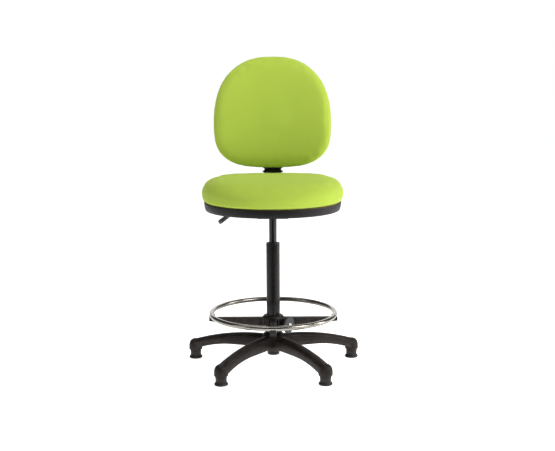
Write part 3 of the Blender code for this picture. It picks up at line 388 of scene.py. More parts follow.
def coat(tree, shader, colour, roughness, height, bump, depth):
    """Gives a shader its colour, roughness and relief."""
    relief = add_node(tree, "ShaderNodeBump", {"Strength": bump, "Distance": depth, "Height": height})
    tree.links.new(colour, shader.inputs["Base Color"])
    tree.links.new(roughness, shader.inputs["Roughness"])
    tree.links.new(relief["Normal"], shader.inputs["Normal"])


def dressed(name, skin_group, bump, depth, specular=0.5, metallic=0.0, **values):
    """A material made by laying a node group over the piece's own coordinates."""
    made, shader = finish(name, metallic=metallic, specular=specular)
    tree = made.node_tree
    place = add_node(tree, "ShaderNodeTexCoord", {})["Object"]
    skin = add_node(tree, "ShaderNodeGroup", {"Position": place, **values}, node_tree=skin_group)
    coat(tree, shader, skin["Colour"], skin["Roughness"], skin["Height"], bump, depth)
    return made


def moulded_finish(name, body, rubbed, grain=1500.0, wear=0.5, bump=0.25, specular=0.5):
    return dressed(name, moulded, bump, 0.0003, specular,
                   Grain=grain, Wear=wear, Body=(*body, 1), Rubbed=(*rubbed, 1))


base_nylon = moulded_finish("base_nylon", (0.0085, 0.0066, 0.0056), (0.042, 0.033, 0.029), grain=1300.0,
                            wear=0.7, bump=0.25, specular=0.20)


def arched(radius, start, end, crest, tip):
    """A height level to the start, then falling to the tip's along a parabola."""
    share = max(0.0, radius - start) / (end - start)
    return crest - (crest - tip) * share ** 2


arm_end = glide_circle - 0.001
arm_root = tube_radius + 0.004
crest_z = 0.115
hub_top = base_high.z


def arm_top(radius):
    return arched(radius, 0.060, arm_end, crest_z, 0.0742)


def arm_low(radius):
    return arched(radius, 0.155, arm_end, 0.0695, 0.0375)


def arm_hoop(radius):
    """The arm's outer section: flat-sided, with a crowned top and rolled lower edges."""
    top, low = arm_top(radius), arm_low(radius)
    spread = arm_half + 0.0035 * max(0.0, 1 - (radius - arm_root) / 0.06) ** 2
    spread += 0.0016 * max(0.0, (radius - 0.24) / (arm_end - 0.24)) ** 2
    places = [(-spread, low), (-spread, low + 0.4 * (top - low)), (-spread + 0.0006, top - 0.012)]
    for step in range(9):
        angle = math.pi * (1 - step / 8)
        places.append((0.0175 * math.cos(angle), top - 0.0045 + 0.0045 * math.sin(angle) ** 0.8
                       - 0.006 * abs(math.cos(angle)) ** 3))
    places += [(spread - 0.0006, top - 0.012), (spread, low + 0.4 * (top - low)), (spread, low)]
    inner, roof = spread - 0.004, top - 0.012
    places += [(inner - 0.0002, low - 0.0001), (inner - 0.001, roof - 0.004), (inner - 0.005, roof),
               (-inner + 0.005, roof), (-inner + 0.001, roof - 0.004), (-inner + 0.0002, low - 0.0001)]
    return [(side, -radius, height) for side, height in places]


stations = [arm_root + (arm_end - arm_root) * step / 16 for step in range(17)]
arm_turns = [math.pi - math.tau * number / 5 for number in range(5)]
hub_profile = rounded([
    (0, 0.056), (0.030, 0.055), (0.0405, 0.066), (0.0405, 0.111), (0.034, hub_top - 0.001),
    (0.0275, hub_top), (0, hub_top),
], 0.004)
base_skin = finished("star_base_moulding", lathe(hub_profile, 60), base_nylon, at_column)
boss_low = glide_boxes[0][1].z
rib_radii, rib_half, rib_wall = (0.095, 0.150, 0.205, 0.255), arm_half - 0.003, 0.0025
for turn in arm_turns:
    spin = round_column(turn)
    cut_by(base_skin, bridged([arm_hoop(radius) for radius in stations]), spin, "UNION")
    boss_profile = rounded([
        (0, boss_low + 0.0003), (0.0235, boss_low + 0.0003), (boss_radius, boss_low + 0.002),
        (boss_radius, 0.046), (0.0246, 0.053), (0.0232, 0.0595), (0.0204, 0.0652), (0.0162, 0.0698),
        (0.0108, 0.0730), (0.0055, 0.0744), (0, 0.0748),
    ], 0.003)
    cut_by(base_skin, lathe(boss_profile, 40), round_column(turn, glide_circle), "UNION")
    for radius in rib_radii:
        top, low = arm_top(radius) - 0.010, arm_low(radius) + 0.004
        rib = box_mesh((-rib_half, -radius - rib_wall / 2, low), (rib_half, -radius + rib_wall / 2, top))
        cut_by(base_skin, rib, spin, "UNION")
tube_taper, taper_top, clearance = 0.0025, 0.120, 0.0003
taper_low, bore_radius = tube_radius - tube_taper + clearance, tube_radius + clearance
bore = lathe([
    (0, socket_low.z - 0.02), (taper_low, socket_low.z - 0.02), (taper_low, socket_low.z),
    (bore_radius, taper_top), (bore_radius, 0.150), (0, 0.150),
], 60)
cut_by(base_skin, bore, at_column)
modified(base_skin, "BEVEL", width=0.0012, segments=2, limit_method="ANGLE", angle_limit=math.radians(38),
         use_clamp_overlap=True)
smoothed(applied(base_skin), 50)
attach(base_skin, "base")
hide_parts("star_base")


# Glides: a bell-shaped foot moulded in hard plastic on each arm, with a flared rim and a shallow
# bead where it meets the boss. Each turns on a plated stem pressed up into the arm.
glide_plastic = moulded_finish("glide_plastic", (0.0092, 0.0074, 0.0065), (0.048, 0.039, 0.034),
                               grain=1600.0, wear=0.8, bump=0.2, specular=0.28)
for number, (low, high) in enumerate(glide_boxes, 1):
    top, rim = high.z, (high.x - low.x) / 2
    bell = rounded([
        (0, 0), (rim - 0.003, 0), (rim, 0.0015), (rim, 0.0062), (rim - 0.0022, 0.0088), (0.0205, 0.0105),
        (0.0198, 0.0135), (0.0198, top - 0.0072), (0.0207, top - 0.0062), (0.0207, top - 0.0042),
        (0.0198, top - 0.0032), (0.0198, top), (0.006, top), (0.006, 0.0098), (0, 0.0098),
    ], 0.0016, 3)
    foot = finished(f"glide_bell_{number}", lathe(bell, 56), glide_plastic,
                    Matrix.Translation((*glide_centres[number - 1].xy, 0)))
    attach(foot, "base")
    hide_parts(f"glide_{number}")


# Plated steel fittings: glide stems, races, rods, bolts and screws, zinc plated with the fine
# turning marks and the cloudy tone that plating leaves.
def metal_group():
    """Drawn or turned metal: fine lines along Z, cloudy patches and small dull marks."""
    tree, given, out = group("worked_metal", [
        ("Lines", "f", 900.0), ("Bright", "c", (0.6, 0.6, 0.6, 1)), ("Dull", "c", (0.4, 0.4, 0.4, 1)),
        ("Smooth", "f", 0.12), ("Rough", "f", 0.3),
    ])
    position = given["Position"]
    split = add_node(tree, "ShaderNodeSeparateXYZ", {"Vector": position})
    stretched = {axis: calc(tree, "MULTIPLY", split[axis], scale)
                 for axis, scale in (("X", 6.0), ("Y", 6.0), ("Z", given["Lines"]))}
    lines = texture_noise(tree, add_node(tree, "ShaderNodeCombineXYZ", stretched)["Vector"], 1.0, 2.0)
    cloud = texture_noise(tree, position, 28.0, 4.0)
    marks = texture_noise(tree, position, 260.0, 3.0, 0.7)
    spot = ranged(tree, marks, 0.60, 0.72, 0.0, 1.0)
    tint = mixed(tree, ranged(tree, cloud, 0.35, 0.65, 0.0, 1.0), given["Bright"], given["Dull"])
    rough = ranged(tree, cloud, 0.35, 0.65, given["Smooth"], given["Rough"])
    rough = calc(tree, "ADD", rough, calc(tree, "MULTIPLY", spot, 0.12))
    rough = calc(tree, "ADD", rough, calc(tree, "MULTIPLY", lines, 0.05))
    give(tree, out, Colour=tint, Roughness=rough,
         Height=calc(tree, "ADD", lines, calc(tree, "MULTIPLY", spot, -0.5)))
    return tree


worked_metal = metal_group()


def metal_finish(name, bright, dull, smooth, rough, lines=900.0, bump=0.05):
    return dressed(name, worked_metal, bump, 0.0002, metallic=1.0,
                   Lines=lines, Bright=(*bright, 1), Dull=(*dull, 1), Smooth=smooth, Rough=rough)


def clothe(material, *nodes):
    """Gives a material to CAD nodes that keep their own shape."""
    for name in nodes:
        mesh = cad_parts[name].data
        mesh.materials.clear()
        mesh.materials.append(material)


plated_steel = metal_finish("plated_steel", (0.62, 0.61, 0.58), (0.42, 0.41, 0.38), smooth=0.22, rough=0.38)
clothe(plated_steel, *[f"glide_stem_{number}" for number in range(1, 6)], "bearing_race_lower",
       "bearing_ball_ring", "bearing_race_upper", "rod_clip", "gas_piston", "piston_rod", "release_pin")


# Column: a drawn steel tube, powder coated satin black, pressed into the hub's taper. A black
# liner is pressed into its mouth and the gas spring's gloss black cylinder slides through it.
def coated_group():
    """Powder coat over steel: a faint orange peel, with the edges rubbed a little lighter."""
    tree, given, out = group("powder_coat", [
        ("Body", "c", (0.01, 0.01, 0.01, 1)), ("Worn", "c", (0.03, 0.03, 0.03, 1)), ("Smooth", "f", 0.26),
        ("Rough", "f", 0.36),
    ])
    position = given["Position"]
    cloud = texture_noise(tree, position, 14.0, 4.0)
    scuff = texture_noise(tree, position, 130.0, 5.0, 0.7)
    rubbed = add_node(tree, "ShaderNodeGroup", {"Position": position, "Amount": 0.6},
                      node_tree=rubbed_edges)
    patch = calc(tree, "ADD", rubbed["Mask"], ranged(tree, cloud, 0.35, 0.65, 0.0, 0.22))
    rough = ranged(tree, scuff, 0.35, 0.65, given["Smooth"], given["Rough"])
    give(tree, out, Colour=mixed(tree, patch, given["Body"], given["Worn"]), Roughness=rough,
         Height=texture_noise(tree, position, 420.0, 2.0))
    return tree


powder_coat = coated_group()


def coated_finish(name, body, worn, smooth, rough, bump=0.1, specular=0.5):
    return dressed(name, powder_coat, bump, 0.0003, specular,
                   Body=(*body, 1), Worn=(*worn, 1), Smooth=smooth, Rough=rough)


painted_steel = coated_finish("painted_steel", (0.0034, 0.0026, 0.0022), (0.019, 0.015, 0.013), smooth=0.20,
                              rough=0.28, bump=0.08, specular=0.27)
spring_steel = coated_finish("gas_spring_steel", (0.0055, 0.0046, 0.0042), (0.022, 0.018, 0.016),
                             smooth=0.10, rough=0.16, bump=0.03, specular=0.42)
tube_wall = 0.0018
tube_foot = socket_low.z
column_profile = rounded([
    (0.0065, tube_foot), (tube_radius - tube_taper, tube_foot), (tube_radius, taper_top),
    (tube_radius, socket_high.z - 0.001), (tube_radius - 0.0009, socket_high.z),
    (tube_radius - tube_wall, socket_high.z - 0.0006), (tube_radius - tube_wall, taper_top),
    (tube_radius - tube_taper - tube_wall, tube_foot + 0.003), (0.0065, tube_foot + 0.003),
], 0.0008, 2)
column = finished("column_outer_tube", lathe(column_profile, 72, closed=True), painted_steel, at_column)
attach(column, "base")
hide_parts("column_tube")

white_acetal = moulded_finish("white_acetal", (0.50, 0.50, 0.47), (0.60, 0.60, 0.58), grain=2400.0,
                              wear=0.2, bump=0.08)
black_liner = moulded_finish("black_liner", (0.011, 0.0105, 0.0105), (0.04, 0.04, 0.04), grain=2400.0,
                             wear=0.2, bump=0.08)
bush_low, bush_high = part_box("guide_bush")
cylinder_low, cylinder_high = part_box("gas_cylinder")
cylinder_radius = (cylinder_high.x - cylinder_low.x) / 2
bush_bore = cylinder_radius + 0.0004
bush_profile = rounded([
    (bush_bore, bush_low.z), (tube_radius - tube_wall - 0.0003, bush_low.z),
    (tube_radius - tube_wall - 0.0003, socket_high.z + 0.0003),
    (tube_radius - 0.0004, socket_high.z + 0.0003), (tube_radius - 0.0006, bush_high.z - 0.0005),
    (bush_bore + 0.0035, bush_high.z), (bush_bore, bush_high.z - 0.001), (bush_bore, bush_low.z + 0.001),
], 0.0004, 2)
liner = finished("column_liner", lathe(bush_profile, 64, closed=True), black_liner, at_column)
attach(liner, "base")
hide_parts("guide_bush")

roof = cylinder_high.z - 0.022
cylinder_profile = rounded([
    (0.0054, cylinder_low.z), (cylinder_radius - 0.001, cylinder_low.z),
    (cylinder_radius, cylinder_low.z + 0.0015), (cylinder_radius, cylinder_high.z - 0.027),
    (0.0133, cylinder_high.z - 0.0008), (0.0120, cylinder_high.z), (0.0044, cylinder_high.z),
    (0.0044, roof), (cylinder_radius - 0.0028, roof), (cylinder_radius - 0.0028, cylinder_low.z + 0.003),
    (0.0054, cylinder_low.z + 0.003),
], 0.0005, 2)
spring_body = finished("gas_spring_cylinder", lathe(cylinder_profile, 64, closed=True), spring_steel,
                       at_column)
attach(spring_body, "seat")
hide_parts("gas_cylinder")


# Rubber bumper: a soft moulded black washer, pushed onto the piston rod. It stops the cylinder at
# the bottom of its stroke.
black_rubber = moulded_finish("black_rubber", (0.010, 0.010, 0.0105), (0.032, 0.032, 0.033), grain=2200.0,
                              wear=0.3, bump=0.2, specular=0.35)
clothe(black_rubber, "rubber_bumper")


# Foot ring carrier: a nylon hub sliding on the column, its wall fluted and stiffened by lugs, with
# four tapering channel spokes that each end in a cradle screwed up into the ring.
ring_low, ring_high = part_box("footring_tube")
ring_z = (ring_low.z + ring_high.z) / 2
ring_tube = (ring_high.z - ring_low.z) / 2
ring_radius = (ring_high.x - ring_low.x) / 2 - ring_tube
collar_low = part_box("footring_hub")[0].z
carrier_hub = 0.043
spoke_turns = [math.tau * number / 4 for number in range(4)]
ring_hub_nylon = moulded_finish("ring_hub_nylon", (0.0090, 0.0074, 0.0066), (0.042, 0.036, 0.032),
                                grain=1400.0, wear=0.7, bump=0.25, specular=0.26)
collar_top = 0.190
collar_profile = rounded([
    (tube_radius + 0.0004, collar_low), (carrier_hub - 0.006, collar_low),
    (carrier_hub - 0.003, collar_low + 0.003), (carrier_hub - 0.003, collar_top - 0.010),
    (carrier_hub - 0.007, collar_top - 0.003), (tube_radius + 0.006, collar_top),
    (tube_radius + 0.0004, collar_top),
], 0.0015, 3)
carrier = finished("footring_carrier", lathe(collar_profile, 72, closed=True), ring_hub_nylon, at_column)
spoke_root, spoke_tip = carrier_hub - 0.008, ring_radius + 0.0095


def spoke_hoop(radius):
    """The spoke's section: a channel open below, its flange growing towards the hub."""
    share = (radius - spoke_root) / (spoke_tip - spoke_root)
    half = 0.0118 - 0.0010 * share
    low = 0.142 + 0.025 * share
    top = 0.180
    places = [(-half, low), (-half, top - 0.0022), (-half + 0.0007, top - 0.0006), (-half + 0.0024, top)]
    places += [(half - 0.0024, top), (half - 0.0007, top - 0.0006), (half, top - 0.0022), (half, low)]
    places += [(half - 0.003, low), (half - 0.0034, top - 0.003), (-half + 0.0034, top - 0.003),
               (-half + 0.003, low)]
    return [(side, -radius, height) for side, height in places]


clamp_z = sum(corner.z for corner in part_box("ring_clamp_knob")) / 2
ring_knob_turn = math.radians(54)
spoke_hoops = [spoke_hoop(spoke_root + (spoke_tip - spoke_root) * step / 8) for step in range(9)]
for turn in spoke_turns:
    spin = round_column(turn)
    cut_by(carrier, bridged(spoke_hoops), spin, "UNION")
    cradle = box_mesh((-0.0104, -ring_radius - 0.0093, 0.171), (0.0104, -ring_radius + 0.0125, 0.190),
                      0.0018)
    cut_by(carrier, cradle, spin, "UNION")
    for side in (-0.019, 0.019):
        lug = box_mesh((side - 0.0016, -carrier_hub + 0.001, collar_low + 0.004),
                       (side + 0.0016, -0.028, collar_top - 0.012))
        cut_by(carrier, lug, spin, "UNION")
flute = rounded([(0, collar_low + 0.008), (0.0028, collar_low + 0.008), (0.0028, collar_top - 0.016),
                 (0, collar_top - 0.013)], 0.001, 2)
for turn in (math.tau * (step + 0.5) / 24 for step in range(24)):
    near_spoke = min(abs(math.remainder(turn - other, math.tau)) for other in spoke_turns) < 0.34
    near_knob = abs(math.remainder(turn - ring_knob_turn, math.tau)) < 0.42
    if near_spoke or near_knob:
        continue
    cut_by(carrier, lathe(flute, 12), round_column(turn, carrier_hub - 0.0025))
facing = (Matrix.Translation((0, axis_y, clamp_z)) @ Matrix.Rotation(ring_knob_turn, 4, "Z")
          @ Matrix.Rotation(math.pi / 2, 4, "X"))
boss_outline = [(0, 0.034), (0.0125, 0.034), (0.0118, 0.050), (0.0110, 0.059), (0, 0.059)]
cut_by(carrier, lathe(rounded(boss_outline, 0.001, 3), 40), facing, "UNION")
stud_hole = [(0, 0.010), (0.0069, 0.010), (0.0069, 0.0338), (0.0044, 0.0338), (0.0044, 0.070), (0, 0.070)]
cut_by(carrier, lathe(stud_hole, 32), facing)


def torus_mesh(radius, tube, height, around, sides):
    bm = bmesh.new()
    made = bmesh.ops.create_circle(bm, segments=sides, radius=tube)["verts"]
    bmesh.ops.rotate(bm, verts=made, cent=(0, 0, 0), matrix=Matrix.Rotation(math.pi / 2, 3, "X"))
    bmesh.ops.translate(bm, verts=made, vec=(radius, 0, height))
    bmesh.ops.spin(bm, geom=bm.verts[:] + bm.edges[:], cent=(0, 0, 0), axis=(0, 0, 1),
                   angle=math.tau, steps=around, use_merge=True)
    bmesh.ops.recalc_face_normals(bm, faces=bm.faces)
    return bm


cut_by(carrier, torus_mesh(ring_radius, ring_tube + 0.0003, ring_z, 96, 20), at_column)
screw_hole = [(0, 0.150), (0.0033, 0.150), (0.0033, 0.2), (0, 0.2)]
for turn in spoke_turns:
    cut_by(carrier, lathe(screw_hole, 16), round_column(turn, ring_radius))
smoothed(carrier, 32)
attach(carrier, "foot_ring")
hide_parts("footring_hub")


# Foot ring: round steel tube rolled into a hoop, its butt joint welded and dressed behind the
# rear cradle, then polished and bright chromium plated.
chromed_tube = metal_finish("chromed_tube", (0.31, 0.295, 0.268), (0.26, 0.247, 0.224), smooth=0.17,
                            rough=0.24, lines=60.0, bump=0.015)
hoop_mesh = torus_mesh(ring_radius, ring_tube, ring_z, 160, 32)
weld_place = Vector((0, ring_radius, ring_z))
for vert in hoop_mesh.verts:
    off = vert.co - weld_place
    if off.length < 0.03:
        near = math.exp(-(off.x / 0.0022) ** 2)
        centre = Vector((vert.co.x, vert.co.y, 0)).normalized() * ring_radius
        outward = (vert.co - Vector((centre.x, centre.y, ring_z))).normalized()
        vert.co += outward * 0.0003 * near
tube_ring = finished("footring_hoop", hoop_mesh, chromed_tube, at_column)
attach(tube_ring, "foot_ring")
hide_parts("footring_tube")


# Clamp knobs: a dark moulded hand wheel with a scalloped rim and a dished face, gripping a plated
# stud. The ring's knob is seen at the front; its twin holds the back at its height.
knob_plastic = moulded_finish("knob_plastic", (0.030, 0.031, 0.036), (0.15, 0.15, 0.165), grain=1800.0,
                              wear=0.9, bump=0.15)


def knob_mesh(radius, start):
    """A hand wheel about its own Z, its neck at the start and its dished face outward."""
    face = start + 0.015
    profile = [
        (0, start + 0.008), (0.0043, start + 0.008), (0.0043, start), (0.0115, start),
        (0.013, start + 0.003), (radius - 0.006, start + 0.0032), (radius - 0.001, start + 0.005),
        (radius, start + 0.0075), (radius, face - 0.0045), (radius - 0.0018, face - 0.0014),
        (radius - 0.005, face), (radius - 0.008, face - 0.0006), (radius - 0.011, face - 0.0026),
        (0.0105, face - 0.003), (0.0085, face - 0.0012), (0.0078, face - 0.0002), (0, face - 0.0002),
    ]
    bm = lathe(rounded(profile, 0.0012, 3), 96)
    lobes, lobe_depth, rim_width = 12, 0.0020, 0.0062
    for vert in bm.verts:
        out = math.hypot(vert.co.x, vert.co.y)
        if out > radius - rim_width:
            angle = math.atan2(vert.co.y, vert.co.x)
            dip = max(0.0, math.cos(lobes * angle)) ** 2
            share = (out - radius + rim_width) / rim_width
            scale = 1 - lobe_depth * dip * share / out
            vert.co.x *= scale
            vert.co.y *= scale
    return bm


def knob_cap(start):
    """The domed steel disc pressed into the middle of the hand wheel's face."""
    seat = start + 0.0148
    return lathe(rounded([(0, seat), (0.0092, seat), (0.0092, seat + 0.0009), (0.0080, seat + 0.0018),
                          (0.0040, seat + 0.0024), (0, seat + 0.0025)], 0.0006, 3), 48)


knob_radius, knob_start = 0.031, 0.06075
ring_knob = finished("ring_hand_wheel", knob_mesh(knob_radius, knob_start), knob_plastic, facing, 40)
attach(ring_knob, "ring_knob")
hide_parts("ring_clamp_knob")
ring_cap = finished("ring_wheel_cap", knob_cap(knob_start), plated_steel, facing, 40)
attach(ring_cap, "ring_knob")
clothe(plated_steel, "ring_clamp_stud", "back_clamp_stud")
clothe(painted_steel, *[f"ring_screw_{number}" for number in range(1, 5)])
clothe(white_acetal, "ring_clamp_pad", "back_clamp_pad")


# Seat mechanism: a folded steel tray with the taper socket welded in, powder coated black and
# bolted to the board. It is mostly hidden inside the seat's shell.
clothe(painted_steel, "mechanism_tray", "taper_socket", "back_bracket", "back_carrier")
clothe(plated_steel, *[f"seat_bolt_{number}" for number in range(1, 5)], "lever_pin", "tilt_pin",
       "tilt_spring", "bar_bolt_1", "bar_bolt_2", "board_screw_1", "board_screw_2")


# Boards: the seat and the back are each built on a pressed beech plywood board. The plies run
# level through the seat's board and upright through the back's.
ply_thickness = 0.003


def plywood_group():
    """Beech veneer: long grain with flecks, and the plies counted through the board."""
    tree, given, out = group("beech_plies", [("Axis", "v", (0, 0, 1))])
    position = given["Position"]
    along = add_node(tree, "ShaderNodeMapping",
                     {"Vector": position, "Scale": (9.0, 160.0, 160.0)})["Vector"]
    grain = texture_noise(tree, along, 1.0, 5.0, 0.6)
    flecks = texture_noise(tree, along, 6.0, 3.0)
    through = add_node(tree, "ShaderNodeVectorMath", {0: position, 1: given["Axis"]},
                       operation="DOT_PRODUCT")["Value"]
    ply = calc(tree, "FRACT", calc(tree, "MULTIPLY", through, 1 / ply_thickness))
    ply = ranged(tree, ply, 0.42, 0.58, 0.0, 0.35)
    pale = mixed(tree, ranged(tree, grain, 0.35, 0.65, 0.0, 1.0), (0.53, 0.37, 0.21, 1),
                 (0.38, 0.25, 0.13, 1))
    give(tree, out, Colour=mixed(tree, ply, pale, (0.27, 0.17, 0.09, 1)),
         Roughness=ranged(tree, flecks, 0.3, 0.7, 0.55, 0.75), Height=grain)
    return tree


beech_plies = plywood_group()
for board, axis in (("seat", (0, 0, 1)), ("back", (0, 1, 0))):
    clothe(dressed(f"{board}_plywood", beech_plies, 0.2, 0.0003, 0.3, Axis=axis), f"{board}_board")


# Height lever: a bent steel rod, powder coated black, that runs out under the seat on the sitter's
# right and ends in a flat moulded grip.
pivot = Vector((-0.030, axis_y, 0.584))
slope = math.radians(37)
grip_tip = Vector((-0.195, axis_y, 0.531))
rod_radius = 0.0044
along_grip = Vector((math.cos(slope), 0, math.sin(slope)))


def swept(path, radius, sides=16):
    """A round bar through the places given."""
    hoops = []
    for index, place in enumerate(path):
        ahead = (path[min(index + 1, len(path) - 1)] - path[max(index - 1, 0)]).normalized()
        side = Vector((0, 1, 0))
        up = ahead.cross(side).normalized()
        hoops.append([place + side * radius * math.cos(a) + up * radius * math.sin(a)
                      for a in (math.tau * i / sides for i in range(sides))])
    return bridged(hoops)


bend = Vector((-0.150, axis_y, 0.565))
rod_end = grip_tip + along_grip * 0.020
inward, outward = (bend - pivot).normalized(), (rod_end - bend).normalized()
rod_path = [
    Vector((0.004, axis_y, 0.584)), Vector((-0.006, axis_y, 0.584)), Vector((-0.022, axis_y, 0.5838)),
    bend - inward * 0.012, bend + outward * 0.0035, bend + outward * 0.010, rod_end,
]
lever = finished("height_lever_rod", swept(rod_path, rod_radius), painted_steel)
lever_hole = lathe([(0, -0.02), (0.0025, -0.02), (0.0025, 0.02), (0, 0.02)], 16)
cut_by(lever, lever_hole, Matrix.Translation(pivot) @ Matrix.Rotation(math.pi / 2, 4, "X"))
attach(lever, "lever")
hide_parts("lever_rod")


def grip_mesh():
    """A flat paddle, waisted near the rod and swelling to a blunt tip, along its own +X."""
    hoops = []
    length = 0.052
    for share in [0, 0.02, 0.07, 0.16, 0.3, 0.45, 0.6, 0.74, 0.86, 0.94, 0.985, 1.0]:
        swell = 1 - 0.22 * math.sin(math.pi * min(1.0, share / 0.9)) ** 2 - 0.12 * share
        nose = min(1.0, math.sqrt(max(0.0, 1 - (1 - min(share, 0.16) / 0.16) ** 2)) * 0.45 + 0.55)
        tail = 1.0 if share < 0.86 else 1 - 0.28 * ((share - 0.86) / 0.14) ** 2
        half_y = 0.0138 * swell * nose * tail
        half_z = 0.0085 * (1 - 0.15 * share) * nose * tail
        ring = []
        for step in range(32):
            angle = math.tau * step / 32
            c, s = math.cos(angle), math.sin(angle)
            ring.append((share * length, math.copysign(half_y * abs(c) ** 0.6, c),
                         math.copysign(half_z * abs(s) ** 0.6, s)))
        hoops.append(ring)
    return bridged(hoops)


grip_place = Matrix.Translation(grip_tip) @ Matrix.Rotation(-slope, 4, "Y")
grip = finished("height_lever_grip", grip_mesh(), knob_plastic, grip_place, 50)
grip_bore = lathe([(0, 0.0197), (0.0048, 0.0197), (0.0048, 0.07), (0, 0.07)], 24)
cut_by(grip, grip_bore, grip_place @ Matrix.Rotation(math.pi / 2, 4, "Y"))
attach(grip, "lever")
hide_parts("lever_handle")


# Seat shell: a black polypropylene tray moulded round the board's edge. Its skirt shows as the dark
# band under the cushion; below it is ribbed and open in the middle for the mechanism.
shell_plastic = moulded_finish("shell_plastic", (0.0034, 0.0030, 0.0030), (0.021, 0.018, 0.018),
                               grain=1700.0, wear=0.5, bump=0.14, specular=0.24)
shell_low, shell_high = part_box("seat_shell")
seat_centre = axis_y - 0.012
seat_half = (shell_high.x - shell_low.x) / 2
seat_front, seat_rear = 0.231, 0.217


def outline(angle, half_width, ahead, behind, ahead_power, behind_power):
    """A point on a superellipse whose two ends have their own depth and fullness."""
    c, s = math.cos(angle), math.sin(angle)
    depth, power = (behind, behind_power) if s > 0 else (ahead, ahead_power)
    return (math.copysign(half_width * abs(c) ** (2 / power), c),
            math.copysign(depth * abs(s) ** (2 / power), s))


def seat_hoop(inset, height, drop=0.0, count=96):
    """The seat's outline at a height, its front lowered by drop."""
    places = []
    for step in range(count):
        behind = seat_rear - max(inset, -0.002)
        x, y = outline(math.tau * step / count, seat_half - inset, seat_front - inset, behind, 2.1, 2.9)
        ahead = max(0.0, -y / seat_front)
        places.append((x, y + seat_centre, height - drop * ahead ** 3))
    return places


rim, skirt = shell_high.z, shell_low.z
board_thickness = 0.012
floor_z = rim - board_thickness
shell_rows = [
    (0.118, floor_z), (0.0034, floor_z), (0.0030, floor_z + 0.0005), (0.0030, rim - 0.0008),
    (0.0024, rim - 0.0001), (0.0010, rim), (0.0002, rim - 0.0006), (0.0, rim - 0.002),
    (0.0004, rim - 0.010), (0.0020, rim - 0.020), (0.0042, skirt + 0.0018), (0.0056, skirt),
    (0.0072, skirt + 0.0002), (0.0080, skirt + 0.002), (0.0080, floor_z - 0.0044),
    (0.0094, floor_z - 0.003), (0.118, floor_z - 0.003),
]
shell = finished("seat_under_shell", bridged([seat_hoop(*row) for row in shell_rows]), shell_plastic)
clear_of_bracket = range(4, 9)
for step in range(24):
    if step in clear_of_bracket:
        continue
    rib = box_mesh((0.128, -0.001, floor_z - 0.009), (0.197, 0.001, floor_z - 0.002))
    place = Matrix.Translation((0, seat_centre, 0)) @ Matrix.Rotation(math.tau * step / 24, 4, "Z")
    cut_by(shell, rib, place, "UNION")
cut_by(shell, box_mesh((-0.092, axis_y - 0.092, floor_z - 0.03), (0.092, axis_y + 0.142, floor_z + 0.01)))
smoothed(shell, 40)
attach(shell, "seat")
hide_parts("seat_shell")


# Seat cushion: moulded foam under one piece of stretched lime wool crepe, drawn down over the board's
# edge and stapled beneath. It is domed, fullest at the sides, with a rolled waterfall front.
def weave_group():
    """Crepe weave from two crossed sets of yarns, laid flat over whichever way the cloth faces."""
    tree, given, out = group("crepe_weave", [("Yarns", "f", 620.0)],
                             (("Height", "f"), ("Yarn", "f"), ("Slub", "f")))
    position = given["Position"]
    warp = texture_noise(tree, position, 60.0, 2.0)
    split = add_node(tree, "ShaderNodeSeparateXYZ", {"Vector": position})
    normal = add_node(tree, "ShaderNodeNewGeometry", {})["True Normal"]
    facing_split = add_node(tree, "ShaderNodeSeparateXYZ", {"Vector": normal})

    def yarns(axis):
        wobble = calc(tree, "MULTIPLY", warp, 0.0012)
        moved = calc(tree, "ADD", split[axis], wobble)
        turns = calc(tree, "MULTIPLY", given["Yarns"], 6.2832)
        return calc(tree, "SINE", calc(tree, "MULTIPLY", moved, turns))

    def faced(axis):
        return calc(tree, "POWER", calc(tree, "ABSOLUTE", facing_split[axis]), 4.0)

    waves = {axis: yarns(axis) for axis in "XYZ"}
    weight = {axis: faced(axis) for axis in "XYZ"}

    def crossed(first, second, facing_axis):
        return calc(tree, "MULTIPLY", calc(tree, "MULTIPLY", waves[first], waves[second]),
                    weight[facing_axis])

    total = calc(tree, "ADD", calc(tree, "ADD", weight["X"], weight["Y"]), weight["Z"])
    summed = calc(tree, "ADD", crossed("Y", "Z", "X"), crossed("X", "Z", "Y"))
    summed = calc(tree, "ADD", summed, crossed("X", "Y", "Z"))
    weave = calc(tree, "DIVIDE", summed, total)
    fuzz = texture_noise(tree, position, 2600.0, 2.0)
    height = calc(tree, "ADD", calc(tree, "MULTIPLY", weave, 0.5), calc(tree, "MULTIPLY", fuzz, 0.8))
    give(tree, out, Height=height, Yarn=ranged(tree, weave, -0.7, 0.7, 0.0, 1.0),
         Slub=texture_noise(tree, position, 340.0, 4.0, 0.7))
    return tree


crepe = weave_group()
green_fabric, cloth_shader = finish("green_fabric", 0.92, specular=0.12)
for label, value in (("Weight", 0.12), ("Roughness", 0.45), ("Tint", (0.90, 1.0, 0.55, 1))):
    cloth_shader.inputs[f"Sheen {label}"].default_value = value
tree = green_fabric.node_tree
cloth_place = add_node(tree, "ShaderNodeTexCoord", {})["Object"]
weave = add_node(tree, "ShaderNodeGroup", {"Position": cloth_place}, node_tree=crepe)
cloth_deep, cloth_light = (0.328, 0.452, 0.044, 1), (0.420, 0.548, 0.080, 1)
slub = ranged(tree, weave["Slub"], 0.35, 0.7, 0.0, 0.30)
wash = ranged(tree, texture_noise(tree, cloth_place, 6.0, 3.0), 0.35, 0.65, 0.0, 0.18)
cloth_tone = mixed(tree, weave["Yarn"], cloth_deep, cloth_light)
cloth_tone = mixed(tree, wash, mixed(tree, slub, cloth_tone, cloth_light), cloth_deep)
cloth_dullness = ranged(tree, weave["Yarn"], 0.0, 1.0, 0.94, 0.84)
coat(tree, cloth_shader, cloth_tone, cloth_dullness, weave["Height"], bump=0.35, depth=0.0004)


